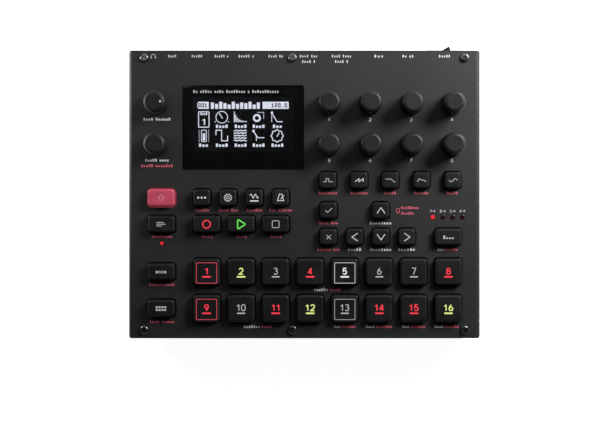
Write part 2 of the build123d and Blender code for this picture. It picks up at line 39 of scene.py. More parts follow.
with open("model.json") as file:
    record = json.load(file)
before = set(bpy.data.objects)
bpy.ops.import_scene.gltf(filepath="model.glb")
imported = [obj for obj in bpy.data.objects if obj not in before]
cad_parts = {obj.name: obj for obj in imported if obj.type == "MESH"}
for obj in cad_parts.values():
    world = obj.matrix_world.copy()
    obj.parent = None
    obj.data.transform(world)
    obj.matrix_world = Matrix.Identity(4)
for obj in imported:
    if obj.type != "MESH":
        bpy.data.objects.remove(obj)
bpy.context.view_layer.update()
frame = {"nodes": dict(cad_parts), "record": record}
nodes = frame["nodes"]

MM = 0.001
COVER_LOW, COVER_HIGH = (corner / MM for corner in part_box("top_cover"))
PANEL_TOP = COVER_HIGH.z
REAR_EDGE = COVER_HIGH.y
CASE_MIDDLE = (COVER_LOW.y + COVER_HIGH.y) / 2

# In millimetres: how far inside its carrier a print starts, how far apart two faces still count as
# one, and from page lamp to page lamp.
SINK = 0.02
TOUCH = 0.01
LAMP_PITCH = 6.05

STEP_KEYS = [f"step_key_{i:02d}" for i in range(1, 17)]
PARAMETER_KEYS = [f"parameter_key_{i}" for i in range(1, 6)]
KEYS = STEP_KEYS + [
    "function_key", "track_key", "pattern_key", "bank_key",
    "sound_menu_key", "settings_key", "effects_key", "metronome_key",
    "record_key", "play_key", "stop_key", *PARAMETER_KEYS,
    "up_key", "left_key", "down_key", "right_key", "yes_key", "no_key", "page_key",
]
DATA_KNOBS = [f"data_knob_{i}" for i in range(1, 9)]
KNOBS = ["volume_knob", "level_knob"] + DATA_KNOBS
JACKS = ["headphone_jack", "output_jack_left", "output_jack_right", "input_jack_left", "input_jack_right"]
ROUND_SOCKETS = ["midi_in_socket", "midi_out_socket", "midi_thru_socket"]


def centre(node):
    """A node's centre in plan and its top, in millimetres."""
    low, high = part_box(node)
    return (low.x + high.x) / 2 / MM, (low.y + high.y) / 2 / MM, high.z / MM


def mount(name):
    """The place of one of the record's mounts, in millimetres."""
    return [Vector(m["pos_m"]) / MM for m in frame["record"]["mounts"] if m["name"] == name][0]


# ---------------------------------------------------------------- settings


def color(name, description, default):
    return FloatVectorProperty(name=name, description=description, subtype="COLOR", size=3,
                               min=0.0, max=1.0, default=default)


def length(name, description, default):
    """A length in metres, whose default is given in millimetres."""
    return FloatProperty(name=name, description=description, unit="LENGTH", min=0.0, default=default * MM)


def number(name, description, default):
    return FloatProperty(name=name, description=description, min=0.0, default=default)


class CaseSettings(bpy.types.PropertyGroup):
    paint: color("Paint", "Powder coat on the top cover", (0.0125, 0.0125, 0.013))
    tray_paint: color("Tray paint", "Powder coat on the bottom tray", (0.012, 0.012, 0.0125))
    white_print: color("White print", "Screen print of the plain marks", (0.62, 0.62, 0.63))
    red_print: color("Red print", "Screen print of the second functions", (0.62, 0.10, 0.15))
    dim_print: color("Dim print", "Thin lines between the step keys", (0.09, 0.09, 0.095))
    print_thickness: length("Print thickness", "How far the prints stand proud", 0.04)
    mark_height: length("Mark height", "Height of the small marks of the print", 1.2)
    number_height: length("Number height", "Height of the printed numbers", 2.2)


class KeySettings(bpy.types.PropertyGroup):
    cap: color("Cap", "Key cap plastic", (0.0065, 0.0065, 0.0068))
    function_cap: color("Function cap", "Lit cap of the function key", (0.44, 0.060, 0.100))
    lit_red: color("Lit red", "Legend lit red", (0.90, 0.045, 0.075))
    lit_lime: color("Lit lime", "Legend lit yellow green", (0.74, 0.84, 0.26))
    lit_white: color("Lit white", "Legend lit white", (0.84, 0.85, 0.86))
    # A legend that isn't lit is still made to glow: a painted glow that stands in for the light its white
    # print catches.
    unlit: color("Unlit", "Legend that isn't lit", (0.50, 0.51, 0.52))
    dim: color("Dim", "Frame that is barely lit", (0.30, 0.30, 0.31))
    lit_green: color("Lit green", "Legend lit green", (0.14, 0.82, 0.09))
    lamp: color("Lamp", "Lens of a lamp that is lit", (0.92, 0.03, 0.05))
    lamp_off: color("Lamp off", "Lens of a lamp that isn't lit", (0.030, 0.005, 0.008))
    digit_height: length("Digit height", "Height of the step numbers", 4.3)
    bold_line: length("Bold line", "Line width of a lit step number", 0.70)
    thin_line: length("Thin line", "Line width of a step number that isn't lit", 0.52)
    bar_width: length("Bar width", "Width of the bar under a step number", 5.3)
    bar_thickness: length("Bar thickness", "Thickness of the bar under a step number", 1.0)
    frame_size: length("Frame size", "Outer size of the frame on the marked steps", 12.8)
    frame_line: length("Frame line", "Line width of the frame on the marked steps", 0.42)
    symbol_line: length("Symbol line", "Line width of the symbols", 0.42)
    legend_thickness: length("Legend thickness", "How far the legends stand proud", 0.04)


class KnobSettings(bpy.types.PropertyGroup):
    cap: color("Cap", "Knob cap", (0.0058, 0.0058, 0.0061))
    pointer: color("Pointer", "Dot on the volume knob", (0.80, 0.80, 0.80))


class DisplaySettings(bpy.types.PropertyGroup):
    mask: color("Mask", "Black print behind the window", (0.0008, 0.0008, 0.001))
    glass: color("Glass", "Unlit display glass", (0.0095, 0.0095, 0.0125))
    image: color("Image", "Lit pixels", (0.76, 0.80, 0.90))
    pixel: length("Pixel", "Distance from pixel to pixel", 0.4336)
    view_width: length("View width", "Width of the clear part of the window", 61.8)
    view_depth: length("View depth", "Depth of the clear part of the window", 33.1)


class StageSettings(bpy.types.PropertyGroup):
    floor: color("Floor", "Floor around the object", (0.90, 0.90, 0.90))
    floor_glow: number("Floor glow", "What the floor adds for the camera", 0.95)
    camera_height: length("Camera height", "Height of the camera over the floor", 797.0)
    camera_lens: number("Camera lens", "Focal length in millimetres on a 36 mm sensor", 73.62)
    key_light: number("Key light", "Power of the light at the rear right", 3.05)
    back_light: number("Back light", "Power of the light behind the object", 0.38)
    side_light: number("Side light", "Power of the low light on the left", 0.38)
    sky: number("Sky", "Strength of the light from all round", 0.03)


# ---------------------------------------------------------------- shader groups


def new_group(name, inputs, outputs):
    """An empty shader node group with float inputs, given as name and default, and the named outputs."""
    tree = bpy.data.node_groups.new(name, "ShaderNodeTree")
    for label, default in inputs:
        socket = tree.interface.new_socket(name=label, in_out="INPUT", socket_type="NodeSocketFloat")
        socket.default_value = default
    for label in outputs:
        tree.interface.new_socket(name=label, in_out="OUTPUT", socket_type="NodeSocketFloat")
    return tree, tree.nodes.new("NodeGroupInput"), tree.nodes.new("NodeGroupOutput")


def feed(tree, sockets, sources):
    """Links or sets each socket from its source, which is another socket, a number or a colour."""
    for socket, source in zip(sockets, sources):
        if isinstance(source, bpy.types.NodeSocket):
            tree.links.new(source, socket)
        elif isinstance(source, (int, float)):
            socket.default_value = source
        else:
            socket.default_value = (*source, 1.0)


def calculate(tree, operation, *values):
    node = tree.nodes.new("ShaderNodeMath")
    node.operation = operation
    feed(tree, node.inputs, values)
    return node.outputs[0]


def span(tree, value, low, high, new_low, new_high):
    """The value carried from one range to another, and held inside it."""
    node = tree.nodes.new("ShaderNodeMapRange")
    feed(tree, node.inputs, (value, low, high, new_low, new_high))
    return node.outputs["Result"]


def mix(tree, factor, first, second):
    """A mix of two colours."""
    node = tree.nodes.new("ShaderNodeMix")
    node.data_type = "RGBA"
    feed(tree, (node.inputs["Factor"], node.inputs[6], node.inputs[7]), (factor, first, second))
    return node.outputs[2]


def noise(tree, size, detail):
    """Noise over the object's own space, whose features have the size that the socket gives."""
    place = tree.nodes.new("ShaderNodeTexCoord")
    node = tree.nodes.new("ShaderNodeTexNoise")
    node.inputs["Detail"].default_value = detail
    tree.links.new(place.outputs["Object"], node.inputs["Vector"])
    tree.links.new(calculate(tree, "DIVIDE", 1.0, size), node.inputs["Scale"])
    return node.outputs["Fac"]


def grain_group():
    """Fine grain for bump, with slow patches of gloss and tone."""
    name = "Fine Grain"
    if name in bpy.data.node_groups:
        return bpy.data.node_groups[name]
    inputs = (("Grain Size", 0.0004), ("Patch Size", 0.03), ("Smoothest", 0.4), ("Roughest", 0.5))
    tree, given, result = new_group(name, inputs, ("Height", "Roughness", "Tone"))
    fine_detail, patch_detail, speckle_reach = 3.0, 5.0, 0.03
    fine = noise(tree, given.outputs["Grain Size"], fine_detail)
    patch = noise(tree, given.outputs["Patch Size"], patch_detail)
    rough = span(tree, patch, 0.35, 0.65, given.outputs["Smoothest"], given.outputs["Roughest"])
    speckle = span(tree, fine, 0.3, 0.7, -speckle_reach, speckle_reach)
    tree.links.new(fine, result.inputs["Height"])
    tree.links.new(calculate(tree, "ADD", rough, speckle), result.inputs["Roughness"])
    tree.links.new(span(tree, patch, 0.3, 0.7, 0.0, 1.0), result.inputs["Tone"])
    return tree


def wear_group():
    """A broken mask of the outer edges, which the materials lighten: partly rubbed finish, where hands and
    bags have worn it, and partly a painted highlight along every edge.
    """
    name = "Edge Wear"
    if name in bpy.data.node_groups:
        return bpy.data.node_groups[name]
    tree, given, result = new_group(name, (("Edge Width", 0.0006), ("Amount", 0.5)), ("Mask",))
    bevel = tree.nodes.new("ShaderNodeBevel")
    bevel.samples = 4
    tree.links.new(given.outputs["Edge Width"], bevel.inputs["Radius"])
    surface = tree.nodes.new("ShaderNodeNewGeometry")
    dot = tree.nodes.new("ShaderNodeVectorMath")
    dot.operation = "DOT_PRODUCT"
    feed(tree, dot.inputs, (bevel.outputs["Normal"], surface.outputs["Normal"]))
    # Every edge keeps at least a share of the lightening, so the edges carry a painted highlight as well as
    # wear.
    flat, sharp, least_wear_and_highlight = 0.99, 0.80, 0.25
    edge = span(tree, dot.outputs["Value"], flat, sharp, 0.0, 1.0)
    patch_widths, patch_detail = 6.0, 4.0
    patch = noise(tree, calculate(tree, "MULTIPLY", given.outputs["Edge Width"], patch_widths), patch_detail)
    broken = span(tree, patch, 0.40, 0.62, least_wear_and_highlight, 1.0)
    mask = calculate(tree, "MULTIPLY", edge, broken)
    tree.links.new(calculate(tree, "MULTIPLY", mask, given.outputs["Amount"]), result.inputs["Mask"])
    return tree


def dust_group():
    """A thin, patchy mask of dust on faces that look up."""
    name = "Settled Dust"
    if name in bpy.data.node_groups:
        return bpy.data.node_groups[name]
    tree, given, result = new_group(name, (("Patch Size", 0.012), ("Amount", 0.1)), ("Mask",))
    surface = tree.nodes.new("ShaderNodeNewGeometry")
    parts = tree.nodes.new("ShaderNodeSeparateXYZ")
    tree.links.new(surface.outputs["Normal"], parts.inputs[0])
    steepest, patch_detail = 0.6, 6.0
    up = span(tree, parts.outputs["Z"], steepest, 1.0, 0.0, 1.0)
    patch = span(tree, noise(tree, given.outputs["Patch Size"], patch_detail), 0.45, 0.75, 0.0, 1.0)
    mask = calculate(tree, "MULTIPLY", up, patch)
    tree.links.new(calculate(tree, "MULTIPLY", mask, given.outputs["Amount"]), result.inputs["Mask"])
    return tree


def lens_group():
    """A mask that is full at a round lens's axis and fades to nothing at its rim; the dark rim is painted
    shade from the edge of the lamp's hole, and on a lamp that isn't lit the bright axis is a painted
    highlight.
    """
    name = "Round Lens"
    if name in bpy.data.node_groups:
        return bpy.data.node_groups[name]
    inputs = (("Axis X", 0.0), ("Axis Y", 0.0), ("Core", 0.0005), ("Rim", 0.0015))
    tree, given, result = new_group(name, inputs, ("Mask",))
    place = tree.nodes.new("ShaderNodeTexCoord")
    parts = tree.nodes.new("ShaderNodeSeparateXYZ")
    tree.links.new(place.outputs["Object"], parts.inputs[0])
    squares = []
    for axis in "XY":
        offset = calculate(tree, "SUBTRACT", parts.outputs[axis], given.outputs[f"Axis {axis}"])
        squares.append(calculate(tree, "POWER", offset, 2.0))
    reach = calculate(tree, "SQRT", calculate(tree, "ADD", *squares))
    fade = span(tree, reach, given.outputs["Core"], given.outputs["Rim"], 1.0, 0.0)
    tree.links.new(fade, result.inputs["Mask"])
    return tree


# ---------------------------------------------------------------- materials


def use_group(tree, group, **values):
    """Places a node group, with its inputs set; an input's name is written with underscores."""
    node = tree.nodes.new("ShaderNodeGroup")
    node.node_tree = group
    for label, value in values.items():
        node.inputs[label.replace("_", " ").title()].default_value = value
    return node.outputs


def scaled(tone, factor):
    """A colour times a factor, kept under 1."""
    return tuple(min(1.0, c * factor) for c in tone)


def finish(name, tone, smoothest, roughest, grain=0.0004, patch=0.03, bump=0.1, bump_depth=0.00002,
           variation=0.12, wear_and_highlight=0.0, wear_and_highlight_width=0.0006, worn_and_highlight_tone=(0.1, 0.1, 0.1), dust=0.0, **shader):
    """A material with grain, patches of tone and gloss, lighter edges that are partly wear and partly a
    painted highlight, and dust.

    Lengths are in metres, and what shader holds is set on the Principled BSDF's own sockets.
    """
    if name in bpy.data.materials:
        return bpy.data.materials[name]
    material = bpy.data.materials.new(name)
    material.use_nodes = True
    tree = material.node_tree
    principled = tree.nodes["Principled BSDF"]
    surface = use_group(tree, grain_group(), grain_size=grain, patch_size=patch, smoothest=smoothest,
                        roughest=roughest)
    result = mix(tree, surface["Tone"], scaled(tone, 1 - variation), scaled(tone, 1 + variation))
    # Lighter edges: partly rubbed finish, partly a painted highlight on every edge.
    if wear_and_highlight:
        mask = use_group(tree, wear_group(), edge_width=wear_and_highlight_width, amount=wear_and_highlight)["Mask"]
        result = mix(tree, mask, result, worn_and_highlight_tone)
    if dust:
        mask = use_group(tree, dust_group(), amount=dust)["Mask"]
        dust_tone = (0.30, 0.29, 0.27)
        result = mix(tree, mask, result, dust_tone)
    height = tree.nodes.new("ShaderNodeBump")
    height.inputs["Strength"].default_value = bump
    height.inputs["Distance"].default_value = bump_depth
    tree.links.new(surface["Height"], height.inputs["Height"])
    tree.links.new(result, principled.inputs["Base Color"])
    tree.links.new(surface["Roughness"], principled.inputs["Roughness"])
    tree.links.new(height.outputs["Normal"], principled.inputs["Normal"])
    for label, value in shader.items():
        principled.inputs[label.replace("_", " ").title().replace("Ior", "IOR")].default_value = value
    return material


def light_up(material, mask, faintest, brightest, strength):
    """Makes a material glow in the two colours, by the mask."""
    tree = material.node_tree
    principled = tree.nodes["Principled BSDF"]
    tree.links.new(mix(tree, mask, faintest, brightest), principled.inputs["Emission Color"])
    principled.inputs["Emission Strength"].default_value = strength
    return material


def glowing(name, tone, strength):
    """A lit legend: it glows in its own colour, a little unevenly, under a satin surface."""
    unlit_share, faint_share = 0.2, 0.92
    material = finish(name, scaled(tone, unlit_share), 0.35, 0.5, grain=0.0003, bump=0.05)
    uneven = use_group(material.node_tree, grain_group(), patch_size=0.004)["Tone"]
    return light_up(material, uneven, scaled(tone, faint_share), tone, strength)


def powder_coat(name, tone, roughest, variation, dust=0.0):
    return finish(name, tone, 0.50, roughest, grain=0.00055, patch=0.045, bump=0.35, bump_depth=0.00005,
                  variation=variation, wear_and_highlight=0.20, wear_and_highlight_width=0.0005, worn_and_highlight_tone=(0.05, 0.05, 0.053), dust=dust)


def cover_paint(tone):
    return powder_coat("cover_powder_coat", tone, 0.57, 0.05, dust=0.006)


def tray_paint(tone):
    return powder_coat("tray_powder_coat", tone, 0.60, 0.06)


def moulded_rubber():
    return finish("moulded_rubber", (0.020, 0.020, 0.021), 0.70, 0.85, grain=0.0009, patch=0.006, bump=0.4,
                  bump_depth=0.00008, variation=0.2, dust=0.05)


def print_ink(name, tone):
    return finish(name, tone, 0.50, 0.62, grain=0.0003, patch=0.01, bump=0.1, variation=0.05)


def key_satin(tone):
    return finish("key_satin", tone, 0.48, 0.58, grain=0.00035, patch=0.012, bump=0.14, bump_depth=0.00003,
                  variation=0.10, wear_and_highlight=0.12, wear_and_highlight_width=0.0007, worn_and_highlight_tone=(0.06, 0.06, 0.063), dust=0.012,
                  specular_ior_level=0.25)


def function_key_satin(tone):
    """Translucent red plastic, lit from below."""
    faint_share, bright_share, strength = 0.75, 1.1, 0.28
    material = finish("function_key_satin", tone, 0.32, 0.42, grain=0.00035, patch=0.008, bump=0.12,
                      variation=0.10, subsurface_weight=0.2, subsurface_scale=0.002)
    uneven = use_group(material.node_tree, grain_group(), patch_size=0.009)["Tone"]
    return light_up(material, uneven, scaled(tone, faint_share), scaled(tone, bright_share), strength)


def plunger_plastic():
    return finish("plunger_acetal", (0.62, 0.61, 0.58), 0.35, 0.45, patch=0.004, bump=0.05, variation=0.05)


def knob_rubber(tone):
    return finish("knob_soft_touch", tone, 0.46, 0.56, grain=0.0004, patch=0.01, bump=0.18,
                  bump_depth=0.00003, variation=0.10, wear_and_highlight=0.20, wear_and_highlight_width=0.0006, worn_and_highlight_tone=(0.08, 0.08, 0.083),
                  dust=0.015, specular_ior_level=0.41)


def plated_steel(name="nickel_plate", tone=(0.55, 0.54, 0.52)):
    return finish(name, tone, 0.22, 0.38, grain=0.0002, patch=0.006, bump=0.06, variation=0.08, metallic=1.0)


def black_oxide():
    return finish("black_oxide", (0.20, 0.20, 0.205), 0.18, 0.30, grain=0.0002, patch=0.003, bump=0.08,
                  variation=0.15, wear_and_highlight=0.5, wear_and_highlight_width=0.0003, worn_and_highlight_tone=(0.30, 0.30, 0.31), metallic=1.0)


def socket_housing():
    return finish("socket_housing", (0.016, 0.016, 0.017), 0.35, 0.48, grain=0.0004, patch=0.008, bump=0.15,
                  variation=0.10)


def rocker_gloss():
    return finish("rocker_gloss", (0.012, 0.012, 0.013), 0.16, 0.26, grain=0.0006, patch=0.006, bump=0.04,
                  variation=0.10, wear_and_highlight=0.25, wear_and_highlight_width=0.0004, worn_and_highlight_tone=(0.08, 0.08, 0.08))


def solder_mask():
    return finish("solder_mask", (0.012, 0.085, 0.040), 0.25, 0.38, grain=0.0009, patch=0.012, bump=0.15,
                  variation=0.18)


def chip_epoxy():
    return finish("chip_epoxy", (0.018, 0.018, 0.018), 0.55, 0.68, grain=0.0003, patch=0.004, bump=0.2)


def switch_housing():
    return finish("switch_housing", (0.035, 0.035, 0.037), 0.40, 0.52, patch=0.003, bump=0.1)


def cast_zinc():
    return finish("cast_zinc", (0.42, 0.42, 0.43), 0.36, 0.52, grain=0.0003, patch=0.004, bump=0.2,
                  variation=0.12, metallic=1.0)


def lamp_lens(name, tone, strength, axis, rim):
    """A coloured lens that is brightest at its axis and dark at its rim, both given in metres; the dark rim
    is painted shade, and on a lamp that isn't lit the glow at the axis is a painted highlight.
    """
    unlit_share, painted_rim_shade_share, core_share = 0.4, 0.06, 0.25
    material = finish(name, scaled(tone, unlit_share), 0.12, 0.2, grain=0.0003, patch=0.002, bump=0.03,
                      coat_weight=0.4)
    mask = use_group(material.node_tree, lens_group(), axis_x=axis[0], axis_y=axis[1], core=rim * core_share,
                     rim=rim)["Mask"]
    return light_up(material, mask, scaled(tone, painted_rim_shade_share), tone, strength)


def clear_acrylic():
    return finish("clear_acrylic", (0.97, 0.97, 0.98), 0.015, 0.03, grain=0.02, patch=0.03, bump=0.0,
                  variation=0.01, transmission_weight=1.0, ior=1.49)


def mask_print(tone):
    return finish("mask_print", tone, 0.32, 0.40, patch=0.02, bump=0.02, variation=0.05,
                  specular_ior_level=0.08)


def screen_glass(tone):
    return finish("screen_glass", tone, 0.10, 0.16, grain=0.002, patch=0.02, bump=0.01, variation=0.10)


# ---------------------------------------------------------------- shapes in plan

# A shape is a list of patches, and a patch is a list of faces that share their corners. Points
# are in millimetres.


def arc(x, y, radius_x, radius_y, start, end, count=12):
    """Points along part of an ellipse, from one angle to the other, in degrees."""
    turns = [math.radians(start + (end - start) * i / count) for i in range(count + 1)]
    return [(x + radius_x * math.cos(a), y + radius_y * math.sin(a)) for a in turns]


def circle(x, y, radius, count=32):
    return arc(x, y, radius, radius, 0, 360, count)[:-1]


def rounded(x, y, width, height, corner=0.0):
    """The outline of a rectangle about its centre, with rounded corners if a radius is given."""
    across, along = width / 2 - corner, height / 2 - corner
    sides = ((-1, -1), (1, -1), (1, 1), (-1, 1))
    if not corner:
        return [(x + side_x * across, y + side_y * along) for side_x, side_y in sides]
    points = []
    for start, (side_x, side_y) in zip((180, 270, 0, 90), sides):
        points += arc(x + side_x * across, y + side_y * along, corner, corner, start, start + 90, 4)
    return points


def between(outer, inner):
    """The band between two outlines that have as many points as each other."""
    count = len(outer)
    return [[[outer[i], outer[(i + 1) % count], inner[(i + 1) % count], inner[i]] for i in range(count)]]


def disc(x, y, radius):
    return [[circle(x, y, radius, 24)]]


def bar(x, y, width, height, corner=0.0):
    return [[rounded(x, y, width, height, corner)]]


def box(x0, y0, x1, y1):
    return [[[(x0, y0), (x1, y0), (x1, y1), (x0, y1)]]]


def ring(x, y, radius, line):
    return between(circle(x, y, radius), circle(x, y, radius - line))


def border(x, y, width, height, line, corner):
    """A rectangular frame with rounded corners."""
    smallest_corner = 0.05
    inner_corner = max(corner - line, smallest_corner)
    return between(rounded(x, y, width, height, corner),
                   rounded(x, y, width - 2 * line, height - 2 * line, inner_corner))


def stroke(points, line, closed=False):
    """A line of even width along the points."""
    count = len(points)
    left, right = [], []
    for i, (x, y) in enumerate(points):
        normals = []
        for j in (i - 1, i):
            if closed or 0 <= j < count - 1:
                (ax, ay), (bx, by) = points[j % count], points[(j + 1) % count]
                size = math.hypot(bx - ax, by - ay)
                normals.append(((ay - by) / size, (bx - ax) / size))
        nx, ny = sum(n[0] for n in normals), sum(n[1] for n in normals)
        reach = line / 2 * len(normals) / (nx * nx + ny * ny)
        left.append((x + nx * reach, y + ny * reach))
        right.append((x - nx * reach, y - ny * reach))
    if closed:
        return between(left, right)
    return [[[left[i], left[i + 1], right[i + 1], right[i]] for i in range(count - 1)]]


def placed(shape, x, y, scale=1.0, turn=0.0):
    """The shape scaled and turned about the origin, and then moved."""
    c, s = scale * math.cos(turn), scale * math.sin(turn)
    return [[[(x + px * c - py * s, y + px * s + py * c) for px, py in face] for face in patch]
            for patch in shape]


SIX = [
    (arc(0.5, 0.3, 0.5, 0.3, 0, 330, 11), True),
    ([(0.03, 0.40), (0.20, 0.70), (0.62, 1.0)], False),
]

# Each digit's centre lines in a box one wide and one high, and whether a line closes.
DIGITS = {
    "0": [(arc(0.5, 0.68, 0.5, 0.32, 0, 180, 8) + arc(0.5, 0.32, 0.5, 0.32, 180, 360, 8), True)],
    "1": [([(0.62, 0.0), (0.62, 1.0)], False), ([(0.12, 0.74), (0.58, 0.93)], False)],
    "2": [(arc(0.5, 0.69, 0.48, 0.31, 165, -30, 10) + [(0.02, 0.0), (1.0, 0.0)], False)],
    "3": [(arc(0.48, 0.76, 0.44, 0.24, 155, -90, 10), False),
          (arc(0.48, 0.27, 0.5, 0.27, 90, -155, 10), False)],
    "4": [([(0.64, 1.0), (0.0, 0.27), (1.0, 0.27)], False), ([(0.72, 0.0), (0.72, 1.0)], False)],
    "5": [([(0.92, 1.0), (0.16, 1.0), (0.10, 0.52)] + arc(0.48, 0.32, 0.5, 0.32, 110, -150, 10), False)],
    "6": SIX,
    "7": [([(0.0, 1.0), (1.0, 1.0), (0.36, 0.0)], False)],
    "8": [(arc(0.5, 0.76, 0.42, 0.24, 0, 330, 11), True), (arc(0.5, 0.27, 0.5, 0.27, 0, 330, 11), True)],
    "9": [([(1 - u, 1 - v) for u, v in points], closed) for points, closed in SIX],
    ":": [([(0.14, 0.20), (0.14, 0.34)], False), ([(0.14, 0.66), (0.14, 0.80)], False)],
}
# The digits that take less than the full width, and how far a narrow 1 moves to the left.
DIGIT_WIDTHS = {"1": 0.62, ":": 0.28}
ONE_SHIFT = 0.12


def numeral(text, x, y, height, line):
    """A plain number about its centre."""
    width_share, gap_share = 0.52, 0.19
    tall, wide = height - line, width_share * height
    gap = gap_share * height + line
    widths = [wide * DIGIT_WIDTHS.get(digit, 1.0) for digit in text]
    left = x - (sum(widths) + gap * (len(text) - 1)) / 2
    shape = []
    for digit, width in zip(text, widths):
        start = left - ONE_SHIFT * wide if digit == "1" else left
        for points, closed in DIGITS[digit]:
            shape += stroke([(start + u * wide, y + (v - 0.5) * tall) for u, v in points], line, closed)
        left += width + gap
    return shape


def mark_row(x, y, width, words, height, fill=0.68):
    """A row of plain bars about its centre, in groups; words gives how many bars each group has."""
    tall_ones, rhythm, tall_share = (0, 3, 4, 9), 11, 1.4
    word_gap, corner = 0.8, 0.12
    pitch = width / (sum(words) + word_gap * (len(words) - 1))
    left, shape, index = x - width / 2, [], 0
    for word in words:
        for _ in range(word):
            tall = height * (tall_share if index % rhythm in tall_ones else 1.0)
            shape += bar(left + pitch / 2, y + (tall - height) / 2, pitch * fill, tall, corner)
            left += pitch
            index += 1
        left += word_gap * pitch
    return shape


# ---------------------------------------------------------------- pieces


def thin_piece(name, shape, top, thickness, body, material):
    """A thin solid over a shape, from just inside its carrier's face at the top, riding on a body."""
    mesh = bmesh.new()
    for patch in shape:
        corners = {}
        for face in patch:
            loop = []
            for x, y in face:
                spot = round(x, 4), round(y, 4)
                if spot not in corners:
                    corners[spot] = mesh.verts.new((x * MM, y * MM, (top - SINK) * MM))
                loop.append(corners[spot])
            mesh.faces.new(loop)
    raised = bmesh.ops.extrude_face_region(mesh, geom=mesh.faces[:], use_keep_orig=True)["geom"]
    upper = [part for part in raised if isinstance(part, bmesh.types.BMVert)]
    bmesh.ops.translate(mesh, vec=(0, 0, (thickness + SINK) * MM), verts=upper)
    bmesh.ops.recalc_face_normals(mesh, faces=mesh.faces[:])
    data = bpy.data.meshes.new(name)
    mesh.to_mesh(data)
    mesh.free()
    data.materials.append(material)
    piece = bpy.data.objects.new(name, data)
    bpy.context.scene.collection.objects.link(piece)
    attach(piece, body)


def paint(node, *materials, choose=lambda x, y, z: 0):
    """Gives a CAD node its materials; choose maps a face's centre, in millimetres, to one of them."""
    mesh = nodes[node].data
    mesh.materials.clear()
    for material in materials:
        mesh.materials.append(material)
    for polygon in mesh.polygons:
        polygon.material_index = choose(*(polygon.center / MM))


# ---------------------------------------------------------------- operators


class DRUM_OT_case(bpy.types.Operator):
    """Powder coat on the cover and tray, rubber on the feet, and the finish of the fasteners"""
    bl_idname = "drum.case"
    bl_label = "Finish the case"

    def execute(self, context):
        settings = context.scene.drum_case
        paint("top_cover", cover_paint(settings.paint))
        paint("bottom_case", tray_paint(settings.tray_paint))
        paint("rubber_feet", moulded_rubber())
        screw_band, nut_top = 8.0, 12.3
        case_screw_row = (COVER_HIGH.y - COVER_LOW.y) / 2 - screw_band

        def choose(x, y, z):
            if abs(y - CASE_MIDDLE) > case_screw_row:
                return 0
            return 2 if z < nut_top else 1

        brass = plated_steel("brass_spacers", (0.60, 0.46, 0.22))
        zinc = plated_steel("zinc_plated_nuts", (0.48, 0.49, 0.52))
        paint("fasteners", black_oxide(), brass, zinc, choose=choose)
        return {"FINISHED"}


# How far the prints lie below the centres of the knobs, the small keys, and the two rows of step
# keys, in millimetres.
KNOB_DROP, KEY_DROP, REAR_DROP, FRONT_DROP = 9.7, 7.9, 11.15, 11.6


